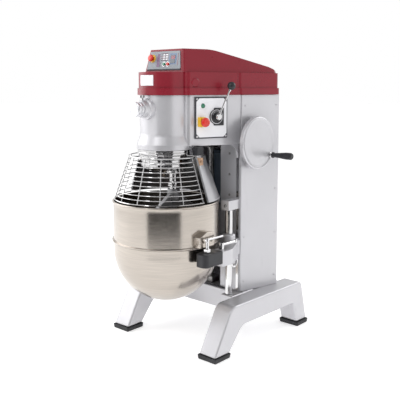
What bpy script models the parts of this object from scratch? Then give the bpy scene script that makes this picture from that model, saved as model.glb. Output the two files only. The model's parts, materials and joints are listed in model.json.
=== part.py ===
"""Floor-standing planetary mixer, modelled as an assembly of separate pieces.

Metres, +Z up, front towards -Y.  The pieces are laid out from the bowl's axis (x = 0, y = 0)
and hang on one empty, which moves the whole machine so that the middle of its footprint box
is the origin.  Rest pose: bowl raised, guard shut, levers locked.
"""
import math

import bmesh
import bpy
from mathutils import Matrix, Vector

# ---------------------------------------------------------------- driving dimensions
BOWL_AXIS_SHIFT = Vector((-0.040, -0.214, 0.0))  # from the footprint's middle to the bowl's axis
GAP = 0.0005                 # clearance between touching pieces

FOOT_HEIGHT = 0.022
DECK_TOP = 0.230             # top of the base
BAR_BOTTOM = 0.128           # underside of the base's side bars
FRONT_FEET = (0.2323, 0.3403, -0.0436, 0.0664)   # inner x, outer x, front y, rear y
REAR_FEET = (0.2463, 0.3603, 0.5840, 0.6805)

COLUMN_FRONT = 0.278
COLUMN_REAR = 0.500
BODY_TOP = 1.180             # joint between the silver body and the red covers
# Half widths of the wedge-shaped body, seen from above: (y, x)
BODY_PLAN = ((0.0, 0.138), (COLUMN_FRONT, 0.227), (0.506, 0.279))
PANEL = 0.004                # sheet thickness of the column's covers

HEAD_RADIUS = 0.118          # round nose of the head
HEAD_BOTTOM = 0.950
NOSE_BOTTOM = 0.9345
NOSE_FLARE = 0.133

COVER_TOP = 1.282
HOOD_TOP = 1.386
SHELL = 0.004                # wall of the red covers

BOWL_RIM_Z = 0.694
BOWL_RADIUS = 0.245
BOWL_RING_Z = 0.513
BOWL_RING_RADIUS = 0.2525
BOWL_BEND_Z = 0.473          # where the straight wall turns into the round bottom
BOWL_DEPTH = 0.250           # height of the round bottom
BOWL_WALL = 0.003

AGITATOR_OFFSET = 0.075
AGITATOR_ANGLE = math.radians(-18.0)
RING_TEETH, PLANET_TEETH = 48, 12
MAIN_TEETH, PINION_TEETH = 36, 12
MAIN_GEAR_RADIUS = 0.090
INPUT_SHAFT_Y = 0.120
MOTOR_Y = 0.413

POST_X, POST_Y, POST_RADIUS, POST_TOP = 0.198, 0.222, 0.018, 0.640
SCREW_Y, SCREW_RADIUS = 0.327, 0.014
LIFT_SHAFT_Z = 0.955
WHEEL_X, WHEEL_RADIUS = 0.281, 0.124
GRIP_Y, GRIP_Z, GRIP_END = 0.412, 0.893, 0.4403

GUARD_TOP = (0.171, 0.904)   # radius, height
GUARD_FOOT = (0.240, 0.708)
SHEET_GAP = 0.007            # the rear sheet stands outside the wire cage by this much

HUB_Z = 1.119

SIDES = (("right", 1.0), ("left", -1.0))

# ---------------------------------------------------------------- scene, collections, materials
for old in list(bpy.data.objects):
    bpy.data.objects.remove(old, do_unlink=True)

PARTS = bpy.data.collections.new("planetary_mixer")
CUTTERS = bpy.data.collections.new("cutters")
bpy.context.scene.collection.children.link(PARTS)
bpy.context.scene.collection.children.link(CUTTERS)

ORIGIN = bpy.data.objects.new("mixer_origin", None)
ORIGIN.location = BOWL_AXIS_SHIFT
PARTS.objects.link(ORIGIN)

FINISHES = {                 # colour, roughness, metallic
    "silver_paint": ((0.56, 0.57, 0.60), 0.38, 0.35),
    "red_shell": ((0.26, 0.025, 0.04), 0.35, 0.0),
    "bowl_steel": ((0.62, 0.58, 0.54), 0.28, 1.0),
    "bright_steel": ((0.72, 0.72, 0.73), 0.16, 1.0),
    "dull_steel": ((0.42, 0.42, 0.43), 0.45, 1.0),
    "cast_aluminium": ((0.66, 0.66, 0.67), 0.35, 1.0),
    "rubber": ((0.02, 0.02, 0.022), 0.75, 0.0),
    "black_plastic": ((0.03, 0.03, 0.035), 0.45, 0.0),
    "grey_panel": ((0.30, 0.33, 0.37), 0.45, 0.0),
    "white_plate": ((0.80, 0.80, 0.82), 0.35, 0.1),
    "button_red": ((0.62, 0.02, 0.015), 0.35, 0.0),
    "signal_yellow": ((0.80, 0.50, 0.02), 0.40, 0.0),
    "lamp_green": ((0.02, 0.28, 0.12), 0.15, 0.0),
    "motor_paint": ((0.10, 0.13, 0.17), 0.50, 0.0),
}
MATERIALS = {}
for finish_name, (colour, roughness, metallic) in FINISHES.items():
    material = bpy.data.materials.new(finish_name)
    material.use_nodes = True
    shader = material.node_tree.nodes["Principled BSDF"]
    shader.inputs["Base Color"].default_value = (*colour, 1.0)
    shader.inputs["Roughness"].default_value = roughness
    shader.inputs["Metallic"].default_value = metallic
    MATERIALS[finish_name] = material

# Frames for flat outlines: where the outline's own x, y and its thickness point
FLAT = Matrix.Identity(3)                                            # x, y, up
SIDE_ON = Matrix(((0, 0, 1), (1, 0, 0), (0, 1, 0)))                  # y, z, thickness along x


# ---------------------------------------------------------------- modelling helpers
def add(name, mesh, finish=None, place=Matrix.Identity(4)):
    """Add a piece, or a cutter when it has no finish."""
    obj = bpy.data.objects.new(name, mesh)
    obj.parent = ORIGIN
    obj.matrix_local = place
    if finish is None:
        obj.hide_render = True
        obj.display_type = 'WIRE'
        CUTTERS.objects.link(obj)
        return obj
    PARTS.objects.link(obj)
    mesh.materials.append(MATERIALS[finish])
    return obj


def mesh_from(name, bm):
    mesh = bpy.data.meshes.new(name)
    bm.to_mesh(mesh)
    bm.free()
    return mesh


def bevel(obj, width, segments=1):
    modifier = obj.modifiers.new("edges", 'BEVEL')
    modifier.width = width
    modifier.segments = segments
    modifier.limit_method = 'ANGLE'
    modifier.angle_limit = math.radians(40)
    return obj


def boolean(obj, other, operation):
    modifier = obj.modifiers.new(other.name, 'BOOLEAN')
    modifier.operation = operation
    modifier.object = other
    return obj


def cut(obj, *cutters):
    for cutter in cutters:
        boolean(obj, cutter, 'DIFFERENCE')
    return obj


def join(obj, *others):
    for other in others:
        boolean(obj, other, 'UNION')
    return obj


def block(name, low, high, finish=None, edge=0.0, place=Matrix.Identity(4)):
    """Box from its low corner to its high corner."""
    low, high = Vector(low), Vector(high)
    bm = bmesh.new()
    bmesh.ops.create_cube(bm, size=1.0)
    bmesh.ops.scale(bm, vec=high - low, verts=bm.verts)
    bmesh.ops.translate(bm, vec=(low + high) / 2, verts=bm.verts)
    obj = add(name, mesh_from(name, bm), finish, place)
    return bevel(obj, edge) if edge else obj


def rod(name, start, end, radius, finish=None, sides=24, end_radius=None):
    """Cylinder or cone between two points."""
    start, end = Vector(start), Vector(end)
    run = end - start
    bm = bmesh.new()
    bmesh.ops.create_cone(bm, cap_ends=True, segments=sides, radius1=radius,
                          radius2=radius if end_radius is None else end_radius, depth=run.length)
    turn = run.to_track_quat('Z', 'Y').to_matrix().to_4x4()
    bmesh.ops.transform(bm, matrix=Matrix.Translation((start + end) / 2) @ turn, verts=bm.verts)
    obj = add(name, mesh_from(name, bm), finish)
    obj.data.shade_smooth()
    obj.data.set_sharp_from_angle(angle=math.radians(35))
    return obj


def turned(name, profile, finish=None, steps=32, place=Matrix.Identity(4), ring=False):
    """Piece turned about its own z: (radius, height) points, down the outer side."""
    bm = bmesh.new()
    verts = [bm.verts.new((radius, 0.0, height)) for radius, height in profile]
    for first, second in zip(verts, verts[1:]):
        bm.edges.new((first, second))
    if ring:
        bm.edges.new((verts[-1], verts[0]))
    obj = add(name, mesh_from(name, bm), finish, place)
    screw = obj.modifiers.new("turn", 'SCREW')
    screw.steps = screw.render_steps = steps
    screw.use_merge_vertices = True
    screw.merge_threshold = 0.00001
    screw.use_smooth_shade = True
    return obj


def flat_curve(name, outlines, thickness, frame, place):
    """2D curve from closed outlines; inner outlines become holes."""
    curve = bpy.data.curves.new(name + "_outline", 'CURVE')
    curve.dimensions = '2D'
    curve.fill_mode = 'BOTH'
    curve.extrude = thickness / 2
    for outline in outlines:
        spline = curve.splines.new('POLY')
        spline.points.add(len(outline) - 1)
        for point, (u, v) in zip(spline.points, outline):
            point.co = (u, v, 0.0, 1.0)
        spline.use_cyclic_u = True
    guide = bpy.data.objects.new(name + "_outline", curve)
    CUTTERS.objects.link(guide)
    guide.matrix_world = Matrix.Translation(place) @ frame.to_4x4()
    return guide


def curve_to_mesh(name, guide, finish):
    """Turn a curve object into a closed mesh piece in its place."""
    bpy.context.view_layer.update()
    evaluated = guide.evaluated_get(bpy.context.evaluated_depsgraph_get())
    mesh = bpy.data.meshes.new_from_object(evaluated)
    mesh.materials.clear()
    bm = bmesh.new()
    bm.from_mesh(mesh)
    bmesh.ops.remove_doubles(bm, verts=bm.verts, dist=0.00001)
    bm.to_mesh(mesh)
    bm.free()
    obj = add(name, mesh, finish, guide.matrix_world.copy())
    bpy.data.objects.remove(guide, do_unlink=True)
    return obj


def plate(name, outlines, thickness, frame, place, finish=None):
    """Flat piece of the given outlines, its thickness centred on place."""
    return curve_to_mesh(name, flat_curve(name, outlines, thickness, frame, place), finish)


def prism(name, outline, low, high, finish=None):
    """Outline in plan, from height low to height high."""
    return plate(name, [outline], high - low, FLAT, (0, 0, (low + high) / 2), finish)


def filleted(corners, steps=4):
    """Closed outline with round corners: (u, v, radius) each, radius 0 for a sharp one."""
    outline = []
    count = len(corners)
    for index, (u, v, radius) in enumerate(corners):
        here = Vector((u, v))
        if radius == 0.0:
            outline.append(tuple(here))
            continue
        back = (Vector(corners[index - 1][:2]) - here).normalized()
        ahead = (Vector(corners[(index + 1) % count][:2]) - here).normalized()
        half = back.angle(ahead) / 2
        centre = here + (back + ahead).normalized() * radius / math.sin(half)
        first = here + back * radius / math.tan(half) - centre
        last = here + ahead * radius / math.tan(half) - centre
        sweep = math.atan2(first.cross(last), first.dot(last))
        for step in range(steps + 1):
            turn = Matrix.Rotation(sweep * step / steps, 2)
            outline.append(tuple(centre + turn @ first))
    return outline


def arc(radius, start, end, steps, centre=(0.0, 0.0)):
    """Points on a circle from one angle to another, in degrees."""
    angles = [math.radians(start + (end - start) * step / steps) for step in range(steps + 1)]
    return [(centre[0] + radius * math.cos(a), centre[1] + radius * math.sin(a)) for a in angles]


def circle(radius, steps=24, centre=(0.0, 0.0)):
    return arc(radius, 0.0, 360.0, steps, centre)[:-1]


def half_width(y, outset=0.0):
    """Half width of the wedge-shaped body at y."""
    for (y0, x0), (y1, x1) in zip(BODY_PLAN, BODY_PLAN[1:]):
        if y <= y1 or y1 == BODY_PLAN[-1][0]:
            return x0 + (x1 - x0) * (y - y0) / (y1 - y0) + outset
    return BODY_PLAN[-1][1] + outset


def body_plan(outset, rear, corner, nose=HEAD_RADIUS):
    """Plan of the head and its covers: round nose, wedge sides and a straight rear."""
    radius = nose + outset
    shoulder = BODY_PLAN[0][1] + outset
    bend = BODY_PLAN[1][0]
    right = [(shoulder, 0.002 - outset, 0.008), (half_width(bend, outset), bend, 0.0),
             (half_width(rear, outset), rear, corner)]
    if rear <= bend:
        right.pop(1)
    left = [(-x, y, r) for x, y, r in reversed(right)]
    dip = math.degrees(math.asin(outset / radius))   # the nose ends at the shoulder's front face
    front = [(x, y, 0.0) for x, y in arc(radius, 180.0 + dip, 360.0 - dip, 20)]
    return filleted(front + right + left)


def tooth_outline(teeth, root, tip, phase=0.0):
    """Gear outline with straight-flanked teeth."""
    outline = []
    pitch = 2 * math.pi / teeth
    for tooth in range(teeth):
        middle = phase + tooth * pitch
        for offset, radius in ((-0.27, root), (-0.13, tip), (0.13, tip), (0.27, root)):
            angle = middle + offset * pitch
            outline.append((radius * math.cos(angle), radius * math.sin(angle)))
    return outline


def mirrored(points):
    return [(-x, *rest) for x, *rest in points]


# ---------------------------------------------------------------- base
def make_feet():
    """Four rubber pads under the legs."""
    for end, (inner, outer, front, rear) in (("front", FRONT_FEET), ("rear", REAR_FEET)):
        for side, sign in SIDES:
            xs = sorted((sign * inner, sign * outer))
            block(f"foot_{end}_{side}", (xs[0], front, 0), (xs[1], rear, FOOT_HEIGHT),
                  "rubber", edge=0.004)


LEG_WIDTH = 0.100
LEG_FRONT_X = (FRONT_FEET[0] + FRONT_FEET[1]) / 2
LEG_REAR_X = (REAR_FEET[0] + REAR_FEET[1]) / 2
LEG_RAKE = math.atan2(LEG_REAR_X - LEG_FRONT_X, REAR_FEET[2] - FRONT_FEET[2])


def leg_inner(y):
    """Where the inner face of the right leg stands, less the clearance."""
    return LEG_FRONT_X - LEG_WIDTH / 2 / math.cos(LEG_RAKE) + y * math.tan(LEG_RAKE) - GAP


def make_base_legs():
    """Side bars of the base, each with a raked front leg and a steep rear leg."""
    sole = FOOT_HEIGHT + GAP
    outline = filleted([
        (-0.038, sole, 0.0), (0.080, DECK_TOP, 0.055), (0.626, DECK_TOP, 0.030),
        (0.675, sole, 0.0), (0.590, sole, 0.0), (0.560, BAR_BOTTOM, 0.020),
        (0.155, BAR_BOTTOM, 0.060), (0.061, sole, 0.0)])
    for side, sign in SIDES:
        turn = Matrix.Rotation(-sign * LEG_RAKE, 3, 'Z')
        leg = plate(f"base_leg_{side}", [outline], LEG_WIDTH, turn @ SIDE_ON,
                    (sign * LEG_FRONT_X, 0, 0), "silver_paint")
        bevel(leg, 0.005)


def make_base_deck():
    """Cast cross member between the legs, hollow underneath, with a lug under each post."""
    front, rear = 0.262, 0.560
    wall, web = 0.014, 0.016
    lug_inner, lug_front = POST_X - 0.026, POST_Y - 0.026
    right = [(lug_inner, front), (lug_inner, lug_front), (leg_inner(lug_front), lug_front),
             (leg_inner(rear), rear)]
    top = DECK_TOP - 0.0003
    deck = prism("base_deck", right + mirrored(reversed(right)), BAR_BOTTOM + 0.002, top,
                 "silver_paint")
    bevel(deck, 0.003)
    half = leg_inner(front) - wall
    cut(deck, block("deck_hollow", (-half, front + wall, 0.10), (half, rear - wall, top - web)))


# ---------------------------------------------------------------- column
def make_column():
    """Column casting, a channel open at the front, and its sheet covers."""
    skin = PANEL + GAP
    front = half_width(COLUMN_FRONT, -skin)
    rear = half_width(COLUMN_REAR, -skin)
    wall, slot, flange = 0.014, 0.100, 0.024
    outer = [(slot, COLUMN_FRONT), (front, COLUMN_FRONT), (rear, COLUMN_REAR)]
    inner = [(rear - wall, COLUMN_REAR - wall), (front - wall, COLUMN_FRONT + flange),
             (slot, COLUMN_FRONT + flange)]
    outline = outer + mirrored(reversed(outer)) + mirrored(reversed(inner)) + inner
    frame = prism("column_frame", outline, DECK_TOP + GAP, BODY_TOP - GAP, "silver_paint")
    shaft_way = rod("lift_shaft_way", (0.15, SCREW_Y, LIFT_SHAFT_Z), (0.30, SCREW_Y, LIFT_SHAFT_Z),
                    0.0125)
    cut(frame, shaft_way)
    for side, sign in SIDES:
        xs = sorted((sign * (POST_X - 0.026), sign * (POST_X + 0.019)))
        join(frame, block(f"post_lug_{side}", (xs[0], POST_Y - 0.026, POST_TOP + GAP),
                          (xs[1], COLUMN_FRONT + 0.010, POST_TOP + 0.045)))

    cover_front, cover_rear = BODY_PLAN[1][0], BODY_PLAN[2][0]
    for side, sign in SIDES:
        run = [(half_width(y, -PANEL), y) for y in (cover_front, cover_rear)]
        outside = [(half_width(y), y) for y in (cover_rear, cover_front)]
        outline = [(sign * x, y) for x, y in run + outside]
        cover = prism(f"side_cover_{side}", outline, DECK_TOP + GAP, BODY_TOP - GAP, "silver_paint")
        if sign > 0:
            cut(cover, shaft_way)
    edge = half_width(COLUMN_REAR, -0.012)
    rear_cover = block("rear_cover", (-edge, COLUMN_REAR + GAP, 0.250),
                       (edge, COLUMN_REAR + 0.006, BODY_TOP - 0.010), "silver_paint")
    bevel(rear_cover, 0.0015)
    gland_y = COLUMN_REAR + 0.006 + GAP
    turned("cable_gland", [(0.0, 0.022), (0.009, 0.022), (0.012, 0.014), (0.015, 0.010),
                           (0.015, 0.0), (0.0, 0.0)], "black_plastic", 16,
           Matrix.Translation((-0.12, gland_y, 0.32)) @ Matrix.Rotation(-math.pi / 2, 4, 'X'))


def make_guide_posts():
    """Round posts that the bowl yoke slides on, held at the top by lugs of the column."""
    for side, sign in SIDES:
        x = sign * POST_X
        rod(f"guide_post_{side}", (x, POST_Y, DECK_TOP + GAP), (x, POST_Y, POST_TOP), POST_RADIUS,
            "bright_steel")


# ---------------------------------------------------------------- bowl lift
def make_lift():
    """Handwheel, cross shaft, bevel gears and the screw that raises the bowl yoke."""
    hand = (0.0, SCREW_Y)
    screw_top = LIFT_SHAFT_Z - 0.034
    screw = rod("lead_screw", (*hand, 0.262), (*hand, screw_top + 0.002), SCREW_RADIUS, "dull_steel",
                sides=16)
    join(screw, rod("screw_bevel", (*hand, screw_top), (*hand, screw_top + 0.012), 0.031,
                    sides=24, end_radius=0.020))
    shaft = rod("lift_shaft", (0.030, SCREW_Y, LIFT_SHAFT_Z), (WHEEL_X - GAP, SCREW_Y, LIFT_SHAFT_Z),
                0.0115, "bright_steel", sides=16)
    join(shaft, rod("shaft_bevel", (0.0225, SCREW_Y, LIFT_SHAFT_Z), (0.0335, SCREW_Y, LIFT_SHAFT_Z),
                    0.0195, sides=24, end_radius=0.0305))
    block("screw_foot_bearing", (-0.030, SCREW_Y - 0.030, DECK_TOP + GAP),
          (0.030, SCREW_Y + 0.030, 0.262 - GAP), "dull_steel", edge=0.003)

    rim = WHEEL_RADIUS
    wheel_place = Matrix.Translation((WHEEL_X, SCREW_Y, LIFT_SHAFT_Z)) @ Matrix.Rotation(
        math.pi / 2, 4, 'Y')
    turned("handwheel", [(0.0, 0.014), (rim - 0.012, 0.014), (rim - 0.004, 0.012), (rim, 0.005),
                         (rim, -0.008), (rim - 0.004, -0.008), (rim - 0.006, 0.004),
                         (0.028, 0.006), (0.024, 0.0), (0.0, 0.0)],
           "silver_paint", 32, wheel_place)
    grip_root = WHEEL_X + 0.014 + GAP
    length = GRIP_END - grip_root
    turned("handwheel_grip", [(0.0, length), (0.010, length), (0.0155, length - 0.006),
                              (0.0165, length * 0.72), (0.011, length * 0.35), (0.010, 0.010),
                              (0.013, 0.006), (0.013, 0.0), (0.0, 0.0)],
           "black_plastic", 20,
           Matrix.Translation((grip_root, GRIP_Y, GRIP_Z)) @ Matrix.Rotation(math.pi / 2, 4, 'Y'))


def make_yoke():
    """Fork that carries the bowl: bushes on the posts, a cross beam and two arms."""
    low, high = 0.385, 0.495
    yoke = block("bowl_yoke", (-POST_X - 0.018, 0.2560, low), (POST_X + 0.018, 0.2760, high),
                 "silver_paint")
    tongue = block("yoke_tongue", (-0.030, 0.270, low + 0.045), (0.030, SCREW_Y + 0.030, high - 0.015))
    pieces, bores = [tongue], [rod("screw_bore", (0, SCREW_Y, low), (0, SCREW_Y, high),
                                   SCREW_RADIUS + GAP, sides=16)]
    for side, sign in SIDES:
        x = sign * POST_X
        pieces.append(rod(f"yoke_bush_{side}", (x, POST_Y, low - 0.003), (x, POST_Y, high + 0.030),
                          0.031, sides=24))
        pieces.append(block(f"yoke_web_{side}", (x - 0.016, POST_Y, low), (x + 0.016, 0.262, high)))
        arm = [(0.262, 0.030), (0.316, 0.030), (0.316, 0.095), (0.2285, 0.238), (0.170, 0.238),
               (0.174, 0.198), (0.240, 0.120), (0.262, 0.070)]
        pieces.append(prism(f"yoke_arm_{side}", [(sign * u, v) for u, v in arm], 0.405, high - 0.002))
        bores.append(rod(f"post_bore_{side}", (x, POST_Y, 0.30), (x, POST_Y, 0.60),
                         POST_RADIUS + GAP, sides=24))
    join(yoke, *pieces)
    cut(yoke, *bores)

    for side, sign in SIDES:
        tip = -0.088 if sign > 0 else -0.058         # the left arm's cap is the shorter one
        end = filleted([(0.2575, tip, 0.026), (0.3215, tip, 0.026), (0.3215, 0.0295, 0.0),
                        (0.2575, 0.0295, 0.0)])
        cap = prism(f"yoke_cap_{side}", [(sign * u, v) for u, v in end], 0.438, 0.4985,
                    "black_plastic")
        bevel(cap, 0.005)
        pin = Vector((sign * 0.293, -0.045 if sign > 0 else -0.025, 0.0))
        lever = rod(f"clamp_lever_{side}", pin + Vector((0, 0, 0.4985 + GAP)),
                    pin + Vector((0, 0, 0.566)), 0.009, "bright_steel", sides=16)
        arm = rod(f"clamp_rod_{side}", pin + Vector((0, 0, 0.557)), pin + Vector((0, 0.108, 0.557)),
                  0.0055, sides=12)
        jaw = block(f"clamp_jaw_{side}", pin + Vector((-0.011, -0.011, 0.500)),
                    pin + Vector((0.011, 0.011, 0.518)))
        join(lever, arm, jaw)


def bowl_profile():
    """Closed section: outer side downwards, then the inner side back up to the rim."""
    outside = [(BOWL_RADIUS + 0.003, BOWL_RIM_Z + 0.006), (BOWL_RADIUS + 0.005, BOWL_RIM_Z + 0.002),
               (BOWL_RADIUS + 0.005, BOWL_RIM_Z - 0.004), (BOWL_RADIUS, BOWL_RIM_Z - 0.007),
               (BOWL_RADIUS, BOWL_RING_Z + 0.0065), (BOWL_RING_RADIUS, BOWL_RING_Z + 0.0065),
               (BOWL_RING_RADIUS, BOWL_RING_Z - 0.0065), (BOWL_RADIUS, BOWL_RING_Z - 0.0065)]
    steps = 7
    angles = [math.pi / 2 * step / steps for step in range(steps + 1)]
    round_outside = [(BOWL_RADIUS * math.cos(a), BOWL_BEND_Z - BOWL_DEPTH * math.sin(a))
                     for a in angles]
    round_outside[-1] = (0.0, BOWL_BEND_Z - BOWL_DEPTH)
    radius, depth = BOWL_RADIUS - BOWL_WALL, BOWL_DEPTH - BOWL_WALL
    round_inside = [(radius * math.cos(a), BOWL_BEND_Z - depth * math.sin(a))
                    for a in reversed(angles)]
    round_inside[0] = (0.0, BOWL_BEND_Z - depth)
    return outside + round_outside + round_inside + [(radius, BOWL_RIM_Z + 0.004)]


def make_bowl():
    """Steel bowl with an ear on each side."""
    bowl = turned("mixing_bowl", bowl_profile(), "bowl_steel", 32, ring=True)
    for side, sign in SIDES:
        xs = sorted((sign * 0.220, sign * 0.276))
        ear = block(f"bowl_ear_{side}", (xs[0], -0.072, 0.508), (xs[1], 0.022, 0.585))
        cut(ear, rod(f"ear_seat_{side}", (0, 0, 0.4), (0, 0, 0.8), BOWL_RADIUS - 0.0015, sides=96))
        join(bowl, ear)


# ---------------------------------------------------------------- head
def make_head():
    """Head casting: round nose over the bowl, wedge body back to the column, open on top."""
    rear = COLUMN_FRONT - GAP
    head = prism("head_housing", body_plan(-0.0005, rear, 0.0, 0.100), HEAD_BOTTOM, BODY_TOP + 0.004,
                 "silver_paint")
    nose = turned("head_nose", [(0.0, BODY_TOP + 0.008), (HEAD_RADIUS, BODY_TOP + 0.008),
                                (HEAD_RADIUS, 1.004), (0.1195, 0.992), (0.1235, 0.978),
                                (0.129, 0.966), (NOSE_FLARE, 0.956), (NOSE_FLARE, NOSE_BOTTOM),
                                (0.0, NOSE_BOTTOM)], None, 40)
    join(head, nose)
    wall = 0.012
    room = prism("gear_room", body_plan(-wall, rear - wall, 0.0), 0.985, 1.30)
    way = rod("main_shaft_way", (0, 0, 0.90), (0, 0, 1.10), 0.040, sides=32)
    input_way = rod("input_seat", (0, INPUT_SHAFT_Y, 0.960), (0, INPUT_SHAFT_Y, 1.10), 0.0205)
    above = block("head_top_trim", (-0.3, -0.2, BODY_TOP - GAP), (0.3, 0.4, BODY_TOP + 0.1))
    cut(head, above, room, way, input_way)

    turned("head_trim_ring", [(0.131, NOSE_BOTTOM - GAP), (0.131, 0.9165), (0.1195, 0.9165),
                              (0.1195, NOSE_BOTTOM - GAP)], "bright_steel", 32, ring=True)
    turned("main_bearing", [(0.0395, 0.980), (0.0395, 0.955), (0.0215, 0.955), (0.0215, 0.980)],
           "dull_steel", 32, ring=True)


def make_hub():
    """Attachment hub on the nose with its plug and thumb screw."""
    face = Matrix.Translation((0, 0, HUB_Z)) @ Matrix.Rotation(math.pi / 2, 4, 'X')
    # along this frame's z the hub points forwards
    hub = turned("attachment_hub", [(0.0265, 0.160), (0.037, 0.160), (0.039, 0.132), (0.047, 0.130),
                                    (0.047, 0.108), (0.0265, 0.108)],
                 "silver_paint", 24, face, ring=True)
    nose_seat = rod("nose_seat", (0, 0, 0.9), (0, 0, 1.3), HEAD_RADIUS + GAP, sides=96)
    cut(hub, nose_seat)
    turned("hub_plug", [(0.0, 0.196), (0.029, 0.196), (0.0325, 0.193), (0.0325, 0.1605),
                        (0.026, 0.1605), (0.026, 0.122), (0.0, 0.122)], "bright_steel", 32, face)
    turned("hub_thumb_screw", [(0.0, 0.062), (0.010, 0.062), (0.012, 0.059), (0.012, 0.050),
                               (0.006, 0.047), (0.006, 0.0395), (0.0, 0.0395)],
           "bright_steel", 16, Matrix.Translation((0, -0.144, HUB_Z)))


# ---------------------------------------------------------------- red covers
def make_lower_cover():
    """Red belt cover with a projecting lip, open underneath."""
    rear = BODY_PLAN[-1][0]
    cover = prism("lower_cover", body_plan(0.003, rear + 0.003, 0.020), BODY_TOP + 0.010, COVER_TOP,
                  "red_shell")
    lip = prism("cover_lip", body_plan(0.009, rear + 0.009, 0.024), BODY_TOP + 0.0002, 1.211)
    join(cover, lip)
    room = prism("cover_room", body_plan(0.003 - SHELL, rear + 0.003 - SHELL, 0.016), 1.10,
                 COVER_TOP - SHELL)
    cut(cover, room)


HOOD_FRONT = -0.010          # foot of the hood's front
HOOD_DRAFT = 1.52            # how fast the hood narrows, per metre of height


def hood_block(name, inset, finish=None):
    """Tapered plan with the hood's sloping top cut by its side view."""
    low = COVER_TOP + GAP - (0.02 if finish is None else 0.0)
    rear = BODY_PLAN[-1][0]
    front_x, bend_x, rear_x = 0.124, half_width(0.278, -0.012), half_width(rear, -0.006)
    front = HOOD_FRONT + inset
    outline = filleted([(-front_x + inset, front, 0.012), (front_x - inset, front, 0.012),
                        (bend_x - inset, 0.278, 0.0), (rear_x - inset, rear - inset, 0.020),
                        (-rear_x + inset, rear - inset, 0.020), (-bend_x + inset, 0.278, 0.0)])
    hood = prism(name, outline, low, 1.45, finish)
    height = 1.45 - low
    for vertex in hood.data.vertices:                # draft: the sides lean inwards
        if vertex.co.z > 0:
            vertex.co.x *= 1.0 - HOOD_DRAFT * height
            vertex.co.y += 0.030 * height / 0.168 * (1.0 - vertex.co.y / rear)
    top = HOOD_TOP - inset
    side = filleted([(-0.10, low - 0.05, 0.0), (0.60, low - 0.05, 0.0), (0.60, 1.2265 - inset, 0.0),
                     (rear - 0.038, 1.309 - inset, 0.030), (0.155, top, 0.050), (-0.10, top, 0.0)])
    limit = plate(name + "_side_view", [side], 0.8, SIDE_ON, (0, 0, 0))
    boolean(hood, limit, 'INTERSECT')
    return hood


def make_hood():
    """Raised top hood, a shell open underneath."""
    hood = hood_block("top_hood", 0.0, "red_shell")
    cut(hood, hood_block("hood_room", SHELL))


HOOD_FACE_LEAN = math.atan2(0.030, 0.168)


def on_hood_face(x, height, proud=0.0):
    """Frame on the hood's leaning front face: x right, y up the face, z out of it."""
    tilt = Matrix.Rotation(math.pi / 2 - HOOD_FACE_LEAN, 4, 'X')
    foot = Matrix.Translation((0, HOOD_FRONT, COVER_TOP + GAP))
    return foot @ tilt @ Matrix.Translation((x, height, proud))


def make_hood_panel():
    """Timer panel on the hood's front: plate, two keys and a stop button."""
    plate_thickness = 0.003
    panel = block("timer_panel", (-0.094, -0.040, 0.0), (0.094, 0.040, plate_thickness), "grey_panel",
                  place=on_hood_face(-0.003, 0.054, 0.0006))
    bevel(panel, 0.001)
    face = 0.0006 + plate_thickness + 0.0003
    for key, x, finish in (("start_key", 0.000, "lamp_green"), ("pause_key", 0.024, "button_red")):
        turned(key, [(0.0, 0.005), (0.0070, 0.005), (0.0080, 0.004), (0.0080, 0.0), (0.0, 0.0)],
               finish, 16, on_hood_face(x, 0.036, face))
    turned("hood_stop_button", [(0.0, 0.022), (0.010, 0.0215), (0.0155, 0.019), (0.0165, 0.015),
                                (0.0150, 0.011), (0.0080, 0.009), (0.0080, 0.0), (0.0, 0.0)],
           "button_red", 24, on_hood_face(-0.076, 0.063, face))
    for stem, x, height in (("start", 0.000, 0.036), ("pause", 0.024, 0.036), ("stop", -0.076, 0.063)):
        cut(panel, turned(f"{stem}_stem_way", [(0.0, 0.01), (0.0088, 0.01), (0.0088, -0.01), (0.0, -0.01)],
                          None, 16, on_hood_face(x, height, 0.0)))


# ---------------------------------------------------------------- side controls
SIDE_ANGLE = math.atan2(BODY_PLAN[1][1] - BODY_PLAN[0][1], BODY_PLAN[1][0] - BODY_PLAN[0][0])


def on_head_side(along, height, proud=0.0):
    """Frame on the head's right side: x towards the rear, y up, z out of the side."""
    outward = Vector((math.cos(SIDE_ANGLE), -math.sin(SIDE_ANGLE), 0))
    rearward = Vector((math.sin(SIDE_ANGLE), math.cos(SIDE_ANGLE), 0))
    start = Vector((BODY_PLAN[0][1] - 0.0005, 0, 0))
    place = start + rearward * along + outward * proud
    place.z = height
    frame = Matrix((rearward, Vector((0, 0, 1)), outward)).transposed()
    return Matrix.Translation(place) @ frame.to_4x4()


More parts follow.
